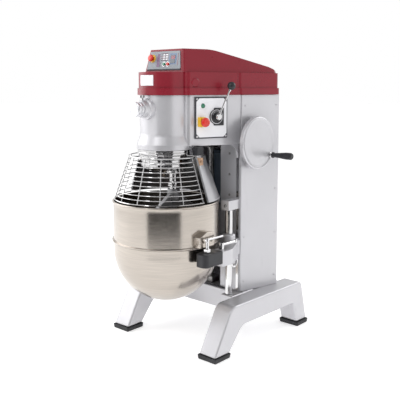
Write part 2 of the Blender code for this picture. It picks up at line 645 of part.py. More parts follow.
def make_side_controls():
    """Control plate with its gasket, lamp, stop button, dial and gear lever."""
    middle, level = 0.121, 1.078
    gasket = block("control_gasket", (-0.086, -0.094, 0.0), (0.086, 0.094, 0.006), "rubber",
                   place=on_head_side(middle, level, GAP))
    bevel(gasket, 0.0015)
    face = GAP + 0.006 + 0.0003
    outline = filleted([(-0.080, -0.074, 0.0), (-0.066, -0.088, 0.0), (0.066, -0.088, 0.0),
                        (0.080, -0.074, 0.0), (0.080, 0.074, 0.0), (0.066, 0.088, 0.0),
                        (-0.066, 0.088, 0.0), (-0.080, 0.074, 0.0)])
    panel = plate("control_plate", [outline], 0.003, FLAT, (0, 0, 0), "white_plate")
    panel.matrix_local = on_head_side(middle, level, face + 0.0015)
    front = face + 0.003 + 0.0003
    turned("pilot_lamp", [(0.0, 0.012), (0.006, 0.011), (0.009, 0.007), (0.011, 0.004), (0.011, 0.0),
                          (0.0, 0.0)], "lamp_green", 20, on_head_side(0.072, 1.132, front))
    base_height = 0.022
    base = block("stop_button_base", (-0.017, -0.022, 0.0), (0.017, 0.022, base_height),
                 "signal_yellow", edge=0.004, place=on_head_side(0.062, 1.060, front))
    cut(base, turned("stop_stem_way", [(0.0, base_height + 0.01), (0.0095, base_height + 0.01),
                                       (0.0095, base_height - 0.006), (0.0, base_height - 0.006)],
                     None, 16, on_head_side(0.062, 1.060, front)))
    turned("stop_button", [(0.0, 0.030), (0.012, 0.029), (0.0195, 0.025), (0.021, 0.019),
                           (0.018, 0.014), (0.0085, 0.012), (0.0085, 0.0), (0.0, 0.0)],
           "button_red", 28, on_head_side(0.062, 1.060, front + base_height + 0.0003))
    dial_along, dial_level = 0.142, 1.082
    turned("gear_dial", [(0.0, 0.010), (0.030, 0.010), (0.034, 0.006), (0.034, 0.0), (0.0, 0.0)],
           "black_plastic", 32, on_head_side(dial_along, dial_level, front))
    boss = front + 0.010 + 0.0003
    lever = turned("gear_lever", [(0.0, 0.024), (0.012, 0.024), (0.015, 0.021), (0.015, 0.0),
                                  (0.0, 0.0)],
                   "bright_steel", 20, on_head_side(dial_along, dial_level, boss))
    frame = on_head_side(dial_along, dial_level, boss)
    root = frame @ Vector((0.004, 0.010, 0.014))
    tip = frame @ Vector((0.045, 0.121, 0.036))
    stalk = rod("lever_stalk", root, tip, 0.0045, sides=12, end_radius=0.0040)
    join(lever, stalk)
    ball = add("gear_lever_knob", knob_mesh(0.019), "black_plastic",
               Matrix.Translation(tip + (tip - root).normalized() * 0.0195))
    ball.data.shade_smooth()


def knob_mesh(radius):
    bm = bmesh.new()
    bmesh.ops.create_uvsphere(bm, u_segments=16, v_segments=10, radius=radius)
    return mesh_from("ball", bm)


# ---------------------------------------------------------------- guard
def guard_radius(height):
    (top_r, top_z), (foot_r, foot_z) = GUARD_TOP, GUARD_FOOT
    return foot_r + (top_r - foot_r) * (height - foot_z) / (top_z - foot_z)


def make_guard():
    """Wire cage that turns about the bowl's axis, fixed rear sheet, ring and switch."""
    rows, columns = 5, 10
    bm = bmesh.new()
    grid = []
    for row in range(rows + 1):
        height = GUARD_FOOT[1] + (GUARD_TOP[1] - GUARD_FOOT[1]) * row / rows
        grid.append([bm.verts.new((x, y, height))
                     for x, y in arc(guard_radius(height), 181.0, 359.0, columns)])
    for lower, upper in zip(grid, grid[1:]):
        for column in range(columns):
            bm.faces.new((lower[column], lower[column + 1], upper[column + 1], upper[column]))
    cage = add("guard_cage", mesh_from("guard_cage", bm), "bright_steel")
    wires = cage.modifiers.new("wires", 'WIREFRAME')
    wires.thickness = 0.0045
    wires.use_boundary = True
    wires.use_even_offset = False

    bm = bmesh.new()
    steps = 24
    loops = []
    for radius_gap in (0.0, 0.002):
        for row_height in (GUARD_FOOT[1], GUARD_TOP[1]):
            radius = guard_radius(row_height) + SHEET_GAP + radius_gap
            loops.append([bm.verts.new((x, y, row_height)) for x, y in arc(radius, 2.0, 178.0, steps)])
    inner_foot, inner_top, outer_foot, outer_top = loops
    for step in range(steps):
        ahead = step + 1
        bm.faces.new((inner_foot[step], inner_top[step], inner_top[ahead], inner_foot[ahead]))
        bm.faces.new((outer_foot[step], outer_foot[ahead], outer_top[ahead], outer_top[step]))
        bm.faces.new((inner_top[step], outer_top[step], outer_top[ahead], inner_top[ahead]))
        bm.faces.new((inner_foot[step], inner_foot[ahead], outer_foot[ahead], outer_foot[step]))
    for step in (0, steps):
        ends = [inner_foot[step], outer_foot[step], outer_top[step], inner_top[step]]
        bm.faces.new(ends if step == 0 else reversed(ends))
    bmesh.ops.recalc_face_normals(bm, faces=bm.faces)
    add("guard_sheet", mesh_from("guard_sheet", bm), "silver_paint")

    ring_low, ring_high = 0.8945, 0.9160
    ring = turned("guard_ring", [(0.1185, ring_high), (0.1185, ring_low), (0.1155, ring_low),
                                 (0.1155, ring_high)], "bright_steel", 32, ring=True)
    for index in range(6):                           # arms that the cage's top wire turns on
        turn = Matrix.Rotation(math.radians(30 + 60 * index), 4, 'Z')
        join(ring, block(f"guard_arm_{index}", (0.1165, -0.005, ring_low), (0.168, 0.005, 0.8975),
                         place=turn))
    block("guard_switch", (0.150, 0.020, 0.9065), (0.178, 0.062, 0.9485), "black_plastic", edge=0.002)


# ---------------------------------------------------------------- planetary drive
def make_planetary():
    """Carrier with the agitator shaft, planet pinion, fixed ring gear and beater."""
    axis = Vector((AGITATOR_OFFSET * math.cos(AGITATOR_ANGLE),
                   AGITATOR_OFFSET * math.sin(AGITATOR_ANGLE), 0))
    carrier = turned("planet_carrier", [
        (0.0, 1.130), (0.021, 1.130), (0.021, 0.9145), (0.094, 0.9145), (0.094, 0.893),
        (0.113, 0.893), (0.113, 0.880), (0.108, 0.878), (0.108, 0.872), (0.113, 0.870),
        (0.113, 0.858), (0.096, 0.842), (0.034, 0.834), (0.024, 0.802), (0.0, 0.796)],
        "bright_steel", 28)
    shaft_way = rod("agitator_way", axis + Vector((0, 0, 0.78)), axis + Vector((0, 0, 0.95)), 0.0195)
    cut(carrier, shaft_way)

    pitch = AGITATOR_OFFSET / (RING_TEETH - PLANET_TEETH)      # metres of radius per tooth
    ring_pitch, planet_pitch = RING_TEETH * pitch, PLANET_TEETH * pitch
    low, high = 0.9168, 0.9335
    phase = AGITATOR_ANGLE
    gap_phase = phase + math.pi / RING_TEETH
    inner = tooth_outline(RING_TEETH, ring_pitch + 0.0045, ring_pitch - 0.0025, gap_phase)
    plate("ring_gear", [circle(0.1185, 48), inner], high - low, FLAT, (0, 0, (low + high) / 2),
          "dull_steel")
    pinion = tooth_outline(PLANET_TEETH, planet_pitch - 0.0035, planet_pitch + 0.0025, phase)
    shaft = turned("agitator_shaft", [(0.0, 0.930), (0.0185, 0.930), (0.0185, 0.790),
                                      (0.0255, 0.788), (0.0255, 0.778), (0.0185, 0.774),
                                      (0.0185, 0.757), (0.0, 0.757)], "bright_steel", 24,
                   Matrix.Translation(axis))
    join(shaft, plate("planet_teeth", [pinion], high - low, FLAT,
                      (axis.x, axis.y, (low + high) / 2)))
    make_beater(axis)

    gear_z = 1.060
    main = tooth_outline(MAIN_TEETH, MAIN_GEAR_RADIUS - 0.005, MAIN_GEAR_RADIUS + 0.0035,
                         math.pi / 2 + math.pi / MAIN_TEETH)
    plate("main_gear", [main, circle(0.0215, 24)], 0.024, FLAT, (0, 0, gear_z), "dull_steel")
    pinion_radius = MAIN_GEAR_RADIUS * PINION_TEETH / MAIN_TEETH
    drive = tooth_outline(PINION_TEETH, pinion_radius - 0.005, pinion_radius + 0.0035, -math.pi / 2)
    shaft = rod("input_shaft", (0, INPUT_SHAFT_Y, 0.962), (0, INPUT_SHAFT_Y, 1.238), 0.012,
                "dull_steel", sides=16)
    join(shaft, plate("pinion_teeth", [drive], 0.024, FLAT, (0, INPUT_SHAFT_Y, gear_z)))


def make_beater(axis):
    """Flat beater in the plane of x = axis: cast frame with cross bars and a hub."""
    width = 0.138
    outside = filleted([(-0.030, 0.735, 0.0), (-width, 0.660, 0.050), (-width, 0.420, 0.120),
                        (-0.060, 0.268, 0.050), (0.060, 0.268, 0.050), (width, 0.420, 0.120),
                        (width, 0.660, 0.050), (0.030, 0.735, 0.0)])
    windows = []
    for low, high, low_x, high_x in ((0.600, 0.676, 0.114, 0.086), (0.490, 0.580, 0.114, 0.114),
                                     (0.385, 0.470, 0.080, 0.112), (0.300, 0.365, 0.046, 0.074)):
        for sign in (1.0, -1.0):
            low, high = low + 0.002, high + 0.001
            windows.append([(sign * 0.010, low), (sign * low_x, low), (sign * high_x, high),
                            (sign * 0.010, high)])
    beater = plate("flat_beater", [outside] + windows, 0.018, SIDE_ON, (axis.x, axis.y, 0),
                   "cast_aluminium")
    join(beater, rod("beater_hub", axis + Vector((0, 0, 0.692)), axis + Vector((0, 0, 0.7565)), 0.029))


def make_belt_drive():
    """Motor in the column, its pulley, the belt and the driven pulley."""
    turned("motor", [(0.0, 0.900), (0.050, 0.900), (0.068, 0.888), (0.070, 0.884), (0.070, 0.640),
                     (0.060, 0.625), (0.0, 0.625)], "motor_paint", 32,
           Matrix.Translation((0, MOTOR_Y, 0)))
    rod("motor_shaft", (0, MOTOR_Y, 0.900 + GAP), (0, MOTOR_Y, 1.238), 0.012, "dull_steel", sides=16)
    driven, driver, belt_half = 0.075, 0.038, 0.008
    middle = 1.222
    for name, radius, y in (("driven_pulley", driven, INPUT_SHAFT_Y), ("motor_pulley", driver, MOTOR_Y)):
        turned(name, [(radius + 0.006, middle + 0.013), (radius + 0.006, middle + belt_half + 0.001),
                      (radius - 0.001, middle + belt_half + 0.001),
                      (radius - 0.001, middle - belt_half - 0.001),
                      (radius + 0.006, middle - belt_half - 0.001), (radius + 0.006, middle - 0.013),
                      (0.0125, middle - 0.013), (0.0125, middle + 0.013)],
               "dull_steel", 24, Matrix.Translation((0, y, 0)), ring=True)
    lean = math.degrees(math.asin((driven - driver) / (MOTOR_Y - INPUT_SHAFT_Y)))

    def loop(extra):
        around_driven = arc(driven + extra, 180.0 - lean, 360.0 + lean, 24, (0, INPUT_SHAFT_Y))
        around_driver = arc(driver + extra, lean, 180.0 - lean, 16, (0, MOTOR_Y))
        return around_driven + around_driver
    plate("drive_belt", [loop(0.0048), loop(0.0)], belt_half * 2, FLAT, (0, 0, middle), "rubber")


# ---------------------------------------------------------------- build
make_feet()
make_base_legs()
make_base_deck()
make_column()
make_guide_posts()
make_lift()
make_yoke()
make_bowl()
make_head()
make_hub()
make_lower_cover()
make_hood()
make_hood_panel()
make_side_controls()
make_guard()
make_planetary()
make_belt_drive()
bpy.context.view_layer.update()
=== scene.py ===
"""Visible surfaces of a floor-standing planetary mixer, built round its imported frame.

Metres, +Z up, front towards -Y.  Pieces are laid out from the bowl's axis (x = 0, y = 0) and put
in their place in the frame when their mesh is made.
"""

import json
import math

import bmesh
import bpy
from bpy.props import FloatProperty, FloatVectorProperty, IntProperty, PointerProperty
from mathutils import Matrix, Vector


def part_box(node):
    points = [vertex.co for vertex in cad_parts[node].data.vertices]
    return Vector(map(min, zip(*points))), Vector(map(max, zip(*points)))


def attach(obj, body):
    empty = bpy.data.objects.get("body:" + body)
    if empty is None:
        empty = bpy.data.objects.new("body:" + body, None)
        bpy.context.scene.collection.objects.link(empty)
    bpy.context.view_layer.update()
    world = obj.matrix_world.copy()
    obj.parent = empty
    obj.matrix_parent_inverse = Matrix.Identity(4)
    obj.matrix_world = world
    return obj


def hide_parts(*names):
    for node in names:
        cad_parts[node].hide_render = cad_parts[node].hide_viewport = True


bl_info = {
    "name": "Planetary Mixer Looks",
    "version": (1, 0, 0),
    "blender": (4, 5, 0),
    "location": "View3D > Sidebar > Mixer",
    "description": "Builds the visible surfaces of a floor-standing planetary mixer",
    "category": "Add Mesh",
}

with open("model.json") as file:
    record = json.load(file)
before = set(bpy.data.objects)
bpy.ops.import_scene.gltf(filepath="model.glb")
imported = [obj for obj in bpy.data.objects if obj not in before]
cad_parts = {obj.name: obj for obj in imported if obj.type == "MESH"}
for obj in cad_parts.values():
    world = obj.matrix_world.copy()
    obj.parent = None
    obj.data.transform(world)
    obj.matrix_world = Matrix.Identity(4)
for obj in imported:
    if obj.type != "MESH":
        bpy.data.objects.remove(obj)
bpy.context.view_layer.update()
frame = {"nodes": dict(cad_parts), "record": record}


def box_middle(node):
    low, high = (Vector(corner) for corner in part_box(node))
    return (low + high) / 2


AXIS = Vector((box_middle("planet_carrier").x, box_middle("planet_carrier").y, 0.0))  # the bowl's axis


def corners(node):
    """Lowest and highest corner of a frame node, from the bowl's axis."""
    low, high = (Vector(corner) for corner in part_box(node))
    return low - AXIS, high - AXIS


# ---------------------------------------------------------------- sizes read from the frame
SOLE, DECK_TOP = corners("base_leg_right")[0].z, corners("base_leg_right")[1].z
BODY_TOP = corners("head_housing")[1].z
NOSE_BOTTOM = corners("head_housing")[0].z
COVER_BOTTOM, COVER_TOP = corners("lower_cover")[0].z, corners("lower_cover")[1].z
HOOD_TOP = corners("top_hood")[1].z
COLUMN_FRONT = corners("side_cover_right")[0].y
BODY_REAR = corners("side_cover_right")[1].y
HALF_AT_REAR = corners("side_cover_right")[1].x
BOWL_FOOT, BOWL_TOP = corners("mixing_bowl")[0].z, corners("mixing_bowl")[1].z
BOWL_RING_RADIUS = corners("mixing_bowl")[1].y
WHEEL_LOW, WHEEL_HIGH = corners("handwheel")
WHEEL_MIDDLE = (WHEEL_LOW + WHEEL_HIGH) / 2
GRIP_LOW, GRIP_HIGH = corners("handwheel_grip")
HUB_Z = (corners("hub_plug")[0].z + corners("hub_plug")[1].z) / 2
SHAFT_MIDDLE = (corners("agitator_shaft")[0] + corners("agitator_shaft")[1]) / 2
LEG_FRONT = (corners("foot_front_right")[0] + corners("foot_front_right")[1]) / 2
LEG_REAR = (corners("foot_rear_right")[0] + corners("foot_rear_right")[1]) / 2
LEG_RAKE = math.atan2(LEG_REAR.x - LEG_FRONT.x,
                      corners("foot_rear_right")[0].y - corners("foot_front_right")[0].y)

# ---------------------------------------------------------------- sizes that its boxes do not give
LEG_WIDTH = 0.100
BAR_BOTTOM = 0.128           # underside of the base's side bars
HEAD_RADIUS = 0.118          # round nose of the head
HEAD_BOTTOM = 0.950
NOSE_FLARE = 0.133
BODY_PLAN = ((0.0, 0.138), (COLUMN_FRONT, 0.227), (BODY_REAR, HALF_AT_REAR))   # (y, half width)
BOWL_RADIUS = 0.245
BOWL_BEND_Z = 0.473          # where the straight wall turns into the round bottom
BOWL_WALL = 0.003
BOWL_RING_Z = 0.513
GUARD_TOP = (0.171, 0.904)   # radius, height
GUARD_FOOT = (0.240, 0.708)
SHEET_GAP = 0.007            # the rear sheet stands outside the wire cage by this much
POST_X, POST_Y, POST_RADIUS = 0.198, 0.222, 0.018
SCREW_Y = 0.327
FLAG_RADIUS = 2.3

PLATE_AT = (0.121, 1.078)    # controls on the head's side: distance from its front corner, height
LAMP_AT = (0.072, 1.132)
STOP_AT = (0.062, 1.060)
DIAL_AT = (0.142, 1.082)
HOOD_STOP_AT = (-0.076, 0.063)       # on the hood's front

SIDES = (("right", 1.0), ("left", -1.0))
SIDE_ON = Matrix(((0, 0, 1), (1, 0, 0), (0, 1, 0))).to_4x4()     # outline in y, z; thickness along x

LOOKS = bpy.data.collections.new("mixer_looks")
bpy.context.scene.collection.children.link(LOOKS)
MATERIALS = {}


# ---------------------------------------------------------------- settings
class MixerColours(bpy.types.PropertyGroup):
    """Colours of the main finishes"""
    silver: FloatVectorProperty(name="Silver enamel", description="Body, base and yoke", size=3,
                                subtype='COLOR', default=(0.60, 0.595, 0.62), min=0.0, max=1.0)
    red: FloatVectorProperty(name="Red enamel", description="Belt cover and hood", size=3,
                             subtype='COLOR', default=(0.225, 0.012, 0.024), min=0.0, max=1.0)
    bowl: FloatVectorProperty(name="Bowl steel", description="Spun bowl", size=3,
                              subtype='COLOR', default=(0.50, 0.455, 0.41), min=0.0, max=1.0)
    rubber: FloatVectorProperty(name="Rubber", description="Feet, seals and caps", size=3,
                                subtype='COLOR', default=(0.018, 0.018, 0.021), min=0.0, max=1.0)


class MixerSizes(bpy.types.PropertyGroup):
    """Sizes of the fine parts"""
    guard_rings: IntProperty(name="Guard rings", description="Level wires of the guard",
                             default=11, min=4, max=24)
    guard_ribs: IntProperty(name="Guard ribs", description="Upright wires of the guard",
                            default=8, min=3, max=24)
    wire: FloatProperty(name="Guard wire", description="Radius of the guard's level wires",
                        default=0.0017, min=0.001, max=0.004, unit='LENGTH')
    casting_edge: FloatProperty(name="Casting edge", description="Rounding of the cast base's edges",
                                default=0.009, min=0.002, max=0.02, unit='LENGTH')
    thread_pitch: FloatProperty(name="Thread pitch", description="Pitch of the lead screw's thread",
                                default=0.010, min=0.004, max=0.02, unit='LENGTH')


# ---------------------------------------------------------------- material nodes
def node(tree, kind, inputs=None, **settings):
    made = tree.nodes.new(kind)
    for name, value in settings.items():
        setattr(made, name, value)
    for name, value in (inputs or {}).items():
        if isinstance(value, bpy.types.NodeSocket):
            tree.links.new(value, made.inputs[name])
        else:
            made.inputs[name].default_value = value
    return made


def pattern(tree, scale, stretch=(1.0, 1.0, 1.0), detail=4.0, turn=(0.0, 0.0, 0.0)):
    """Noise on the piece's own coordinates, 0 to 1."""
    place = node(tree, "ShaderNodeTexCoord").outputs["Object"]
    mapping = node(tree, "ShaderNodeMapping", {"Vector": place, "Scale": stretch, "Rotation": turn})
    return node(tree, "ShaderNodeTexNoise", {"Vector": mapping.outputs["Vector"], "Scale": scale,
                                             "Detail": detail}).outputs["Fac"]


def spread(tree, factor, low, high, start=0.3, end=0.7):
    return node(tree, "ShaderNodeMapRange", {"Value": factor, "From Min": start, "From Max": end,
                                             "To Min": low, "To Max": high}).outputs["Result"]


def blend_colours(tree, factor, first, second):
    mix = node(tree, "ShaderNodeMix", data_type='RGBA')
    for index, value in ((0, factor), (6, first), (7, second)):
        if isinstance(value, bpy.types.NodeSocket):
            tree.links.new(value, mix.inputs[index])
        else:
            mix.inputs[index].default_value = (*value, 1.0)
    return mix.outputs[2]


def shade(colour, amount):
    return tuple(min(1.0, channel * amount) for channel in colour)


def finish(name, colour, roughness, metallic=0.0, mottle=(5.0, 0.08), rough_spread=0.06,
           grain=(700.0, 0.05, 0.0002), stretch=(1.0, 1.0, 1.0), coat=0.0, marks=0.0,
           shine=0.5):
    """Material with cloudy colour, uneven gloss, surface grain and, where asked for, scuff marks."""
    material = bpy.data.materials.new(name)
    material.use_nodes = True
    tree = material.node_tree
    shader = tree.nodes["Principled BSDF"]
    scale, amount = mottle
    cloud = pattern(tree, scale, stretch)
    tint = blend_colours(tree, spread(tree, cloud, 0.0, 1.0), shade(colour, 1.0 - amount),
                         shade(colour, 1.0 + amount))
    if marks:
        scuffs = spread(tree, pattern(tree, 38.0, (1.0, 1.0, 0.25), 8.0), 0.0, marks, 0.62, 0.78)
        tint = blend_colours(tree, scuffs, tint, shade(colour, 0.62))
    tree.links.new(tint, shader.inputs["Base Color"])
    gloss = pattern(tree, scale * 3.0, stretch, 6.0)
    tree.links.new(spread(tree, gloss, roughness - rough_spread, roughness + rough_spread),
                   shader.inputs["Roughness"])
    shader.inputs["Metallic"].default_value = metallic
    shader.inputs["Specular IOR Level"].default_value = shine
    shader.inputs["Coat Weight"].default_value = coat
    shader.inputs["Coat Roughness"].default_value = 0.12
    grain_scale, strength, depth = grain
    bump = node(tree, "ShaderNodeBump", {"Height": pattern(tree, grain_scale, stretch, 2.0),
                                         "Strength": strength, "Distance": depth})
    tree.links.new(bump.outputs["Normal"], shader.inputs["Normal"])
    MATERIALS[name] = material
    return material


def make_materials(colours):
    """One finish for each of the record's slots and for the details that have none."""
    level = (1.0, 1.0, 60.0)             # lines round the bowl's axis
    finish("silver_paint", colours.silver, 0.34, 0.5, (3.0, 0.04), 0.05, (420.0, 0.12, 0.0004),
           marks=0.10)
    finish("red_shell", colours.red, 0.30, 0.0, (3.0, 0.08), 0.05, (380.0, 0.10, 0.0004), coat=0.06,
           marks=0.08, shine=0.38)
    finish("bowl_steel", colours.bowl, 0.19, 1.0, (7.0, 0.09), 0.05, (14.0, 0.22, 0.0003), level)
    finish("bright_steel", (0.72, 0.715, 0.72), 0.09, 1.0, (9.0, 0.05), 0.04, (60.0, 0.04, 0.0001))
    finish("satin_steel", (0.76, 0.76, 0.79), 0.30, 0.75, (9.0, 0.05), 0.05, (120.0, 0.08, 0.0002))
    finish("brushed_sheet", (0.43, 0.43, 0.445), 0.38, 1.0, (9.0, 0.08), 0.05, (90.0, 0.15, 0.0002),
           (1.0, 1.0, 0.05))
    finish("brass_fitting", (0.50, 0.33, 0.22), 0.30, 1.0, (30.0, 0.15), 0.08, (200.0, 0.1, 0.0002))
    finish("dull_steel", (0.36, 0.355, 0.35), 0.42, 1.0, (20.0, 0.15), 0.10, (300.0, 0.15, 0.0002),
           marks=0.4)
    finish("cast_aluminium", (0.34, 0.34, 0.35), 0.44, 1.0, (12.0, 0.08), 0.08, (260.0, 0.25, 0.0004))
    finish("rubber", colours.rubber, 0.62, 0.0, (14.0, 0.25), 0.10, (900.0, 0.35, 0.0003))
    finish("black_plastic", (0.018, 0.018, 0.022), 0.36, 0.0, (16.0, 0.2), 0.08, (1100.0, 0.2, 0.0002))
    finish("grey_panel", (0.27, 0.30, 0.33), 0.42, 0.0, (12.0, 0.05), 0.05, (1300.0, 0.1, 0.0001))
    finish("white_plate", (0.80, 0.80, 0.83), 0.33, 0.0, (6.0, 0.03), 0.05, (700.0, 0.1, 0.0002))
    finish("button_red", (0.62, 0.022, 0.012), 0.28, 0.0, (30.0, 0.08), 0.06, (900.0, 0.06, 0.0001),
           coat=0.4)
    finish("signal_yellow", (0.80, 0.47, 0.02), 0.36, 0.0, (30.0, 0.08), 0.06, (900.0, 0.1, 0.0001))
    finish("lamp_green", (0.01, 0.17, 0.09), 0.12, 0.0, (60.0, 0.3), 0.04, (300.0, 0.1, 0.0002),
           coat=1.0)
    finish("motor_paint", (0.09, 0.12, 0.16), 0.5, 0.0, (14.0, 0.12), 0.08, (500.0, 0.2, 0.0003))
    finish("display_glass", (0.02, 0.03, 0.05), 0.08, 0.0, (20.0, 0.2), 0.03, (200.0, 0.02, 0.0001),
           coat=1.0)
    finish("dark_seal", (0.045, 0.045, 0.055), 0.55, 0.0, (20.0, 0.2), 0.08, (800.0, 0.2, 0.0002))
    paper = finish("floor", (0.88, 0.88, 0.88), 0.85, 0.0, (1.0, 0.01), 0.03, (40.0, 0.02, 0.0005))
    shader = paper.node_tree.nodes["Principled BSDF"]
    shader.inputs["Emission Color"].default_value = (1.0, 1.0, 1.0, 1.0)
    shader.inputs["Emission Strength"].default_value = 0.48
    finish("studio_flag", (0.012, 0.012, 0.014), 0.9, 0.0, (1.0, 0.1), 0.05, (40.0, 0.02, 0.0005))
    for name, colour in (("legend_blue", (0.16, 0.22, 0.34)), ("legend_plum", (0.20, 0.12, 0.22)),
                         ("legend_pink", (0.50, 0.22, 0.28))):
        finish(name, colour, 0.4, 0.0, (20.0, 0.06), 0.05, (900.0, 0.06, 0.0001))
    shader = finish("digit_glow", (0.95, 0.10, 0.16), 0.4).node_tree.nodes["Principled BSDF"]
    shader.inputs["Emission Color"].default_value = (0.95, 0.10, 0.16, 1.0)
    shader.inputs["Emission Strength"].default_value = 0.35


# ---------------------------------------------------------------- shapes
def settle(bm, place=None):
    """Merge seams and poles, face outwards and move to its place."""
    bmesh.ops.remove_doubles(bm, verts=bm.verts, dist=0.000001)
    bmesh.ops.recalc_face_normals(bm, faces=bm.faces)
    if place is not None:
        bmesh.ops.transform(bm, matrix=place, verts=bm.verts)
    return bm


def lathe(profile, steps=64, place=None, closed=False, start=0.0, sweep=360.0, lead=0.0):
    """Turned shape from (radius, height) points; a part turn of a closed profile gets end caps."""
    bm = bmesh.new()
    angle = math.radians(start)
    verts = [bm.verts.new((r * math.cos(angle), r * math.sin(angle), z)) for r, z in profile]
    edges = [bm.edges.new(pair) for pair in zip(verts, verts[1:])]
    if closed:
        edges.append(bm.edges.new((verts[-1], verts[0])))
    full = sweep == 360.0 and lead == 0.0
    bmesh.ops.spin(bm, geom=verts + edges, cent=(0, 0, 0), axis=(0, 0, 1), dvec=(0, 0, lead / steps),
                   angle=math.radians(sweep), steps=steps, use_merge=full, use_duplicate=False)
    if closed and not full:
        bmesh.ops.holes_fill(bm, edges=[edge for edge in bm.edges if edge.is_boundary], sides=0)
    return settle(bm, place)


def slab(outline, low, high, place=None, holes=()):
    """Outline in x, y with a thickness along z."""
    bm = bmesh.new()
    edges = []
    for loop in (outline, *holes):
        verts = [bm.verts.new((x, y, low)) for x, y in loop]
        edges += [bm.edges.new(pair) for pair in zip(verts, verts[1:] + verts[:1])]
    if holes:
        bmesh.ops.triangle_fill(bm, use_beauty=True, use_dissolve=False, edges=edges, normal=(0, 0, 1))
    else:
        bm.faces.new(verts)
    raised = bmesh.ops.extrude_face_region(bm, geom=bm.faces[:])["geom"]
    bmesh.ops.translate(bm, vec=(0, 0, high - low),
                        verts=[item for item in raised if isinstance(item, bmesh.types.BMVert)])
    return settle(bm, place)


def block(low, high, place=None):
    low, high = Vector(low), Vector(high)
    bm = bmesh.new()
    bmesh.ops.create_cube(bm, size=1.0)
    bmesh.ops.scale(bm, vec=high - low, verts=bm.verts)
    bmesh.ops.translate(bm, vec=(low + high) / 2, verts=bm.verts)
    return settle(bm, place)


def rod(start, end, radius, sides=32, end_radius=None):
    start, end = Vector(start), Vector(end)
    run = end - start
    bm = bmesh.new()
    bmesh.ops.create_cone(bm, cap_ends=True, segments=sides, radius1=radius,
                          radius2=radius if end_radius is None else end_radius, depth=run.length)
    turn = run.to_track_quat('Z', 'Y').to_matrix().to_4x4()
    return settle(bm, Matrix.Translation((start + end) / 2) @ turn)


def ball(centre, radius, stretch=(1.0, 1.0, 1.0)):
    bm = bmesh.new()
    bmesh.ops.create_uvsphere(bm, u_segments=40, v_segments=24, radius=radius)
    bmesh.ops.scale(bm, vec=stretch, verts=bm.verts)
    return settle(bm, Matrix.Translation(centre))


def bent_bar(points, radius):
    """Round bar along a smooth run through the points."""
    curve = bpy.data.curves.new("bar_path", 'CURVE')
    curve.dimensions = '3D'
    curve.bevel_depth = radius
    curve.bevel_resolution = 4
    curve.use_fill_caps = True
    spline = curve.splines.new('NURBS')
    spline.points.add(len(points) - 1)
    for point, place in zip(spline.points, points):
        point.co = (*place, 1.0)
    spline.order_u = 3
    spline.use_endpoint_u = True
    guide = bpy.data.objects.new("bar_path", curve)
    bpy.context.scene.collection.objects.link(guide)
    bpy.context.view_layer.update()
    mesh = bpy.data.meshes.new_from_object(guide.evaluated_get(bpy.context.evaluated_depsgraph_get()))
    bm = bmesh.new()
    bm.from_mesh(mesh)
    bpy.data.objects.remove(guide, do_unlink=True)
    bpy.data.meshes.remove(mesh)
    return settle(bm)


def socket_screw(place, radius=0.004, height=0.003):
    """Button head with a sunk socket."""
    floor = height * 0.35
    return lathe([(0.0, floor), (radius * 0.45, floor), (radius * 0.5, height), (radius * 0.82, height),
                  (radius, height * 0.6), (radius, 0.0), (0.0, 0.0)], 20, place)


def filleted(points, steps=8, closed=True):
    """Outline or path with round corners: (u, v, radius) each, radius 0 for a sharp one."""
    outline = []
    count = len(points)
    for index, (u, v, radius) in enumerate(points):
        here = Vector((u, v))
        if radius == 0.0 or (not closed and index in (0, count - 1)):
            outline.append(tuple(here))
            continue
        back = (Vector(points[index - 1][:2]) - here).normalized()
        ahead = (Vector(points[(index + 1) % count][:2]) - here).normalized()
        half = back.angle(ahead) / 2
        centre = here + (back + ahead).normalized() * radius / math.sin(half)
        first = here + back * radius / math.tan(half) - centre
        last = here + ahead * radius / math.tan(half) - centre
        sweep = math.atan2(first.cross(last), first.dot(last))
        for step in range(steps + 1):
            outline.append(tuple(centre + Matrix.Rotation(sweep * step / steps, 2) @ first))
    return outline


def arc(radius, start, end, steps, centre=(0.0, 0.0)):
    """Points on a circle from one angle to another, in degrees."""
    angles = [math.radians(start + (end - start) * step / steps) for step in range(steps + 1)]
    return [(centre[0] + radius * math.cos(a), centre[1] + radius * math.sin(a)) for a in angles]


def signed(outline, sign):
    return [(sign * x, y) for x, y in outline]


def piece(name, parts, finish_name, body="root", nodes=(), edge=0.0, segments=3, wall=0.0,
          sharp=35.0):
    """Finish a piece: its parts in one mesh at its place in the frame, riding on a body."""
    mesh = bpy.data.meshes.new(name)
    whole = bmesh.new()
    for part in parts:
        part.to_mesh(mesh)
        whole.from_mesh(mesh)
        part.free()
    bmesh.ops.translate(whole, vec=AXIS, verts=whole.verts)
    whole.to_mesh(mesh)
    whole.free()
    mesh.materials.append(MATERIALS[finish_name])
    mesh.shade_smooth()
    mesh.set_sharp_from_angle(angle=math.radians(sharp))
    obj = bpy.data.objects.new(name, mesh)
    LOOKS.objects.link(obj)
    if wall:
        shell = obj.modifiers.new("wall", 'SOLIDIFY')
        shell.thickness = wall
        shell.offset = -1.0
        shell.use_even_offset = True
    if edge:
        bevel = obj.modifiers.new("edges", 'BEVEL')
        bevel.width = edge
        bevel.segments = segments
        bevel.limit_method = 'ANGLE'
        bevel.angle_limit = math.radians(sharp)
        bevel.use_clamp_overlap = True
    level = obj.modifiers.new("even_shading", 'WEIGHTED_NORMAL')
    level.keep_sharp = True
    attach(obj, body)
    if nodes:
        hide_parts(*nodes)
    return obj


# ---------------------------------------------------------------- places on the body
def half_width(y, outset=0.0):
    """Half width of the wedge-shaped body at y."""
    for (y0, x0), (y1, x1) in zip(BODY_PLAN, BODY_PLAN[1:]):
        if y <= y1 or y1 == BODY_REAR:
            return x0 + (x1 - x0) * (y - y0) / (y1 - y0) + outset
    return HALF_AT_REAR + outset


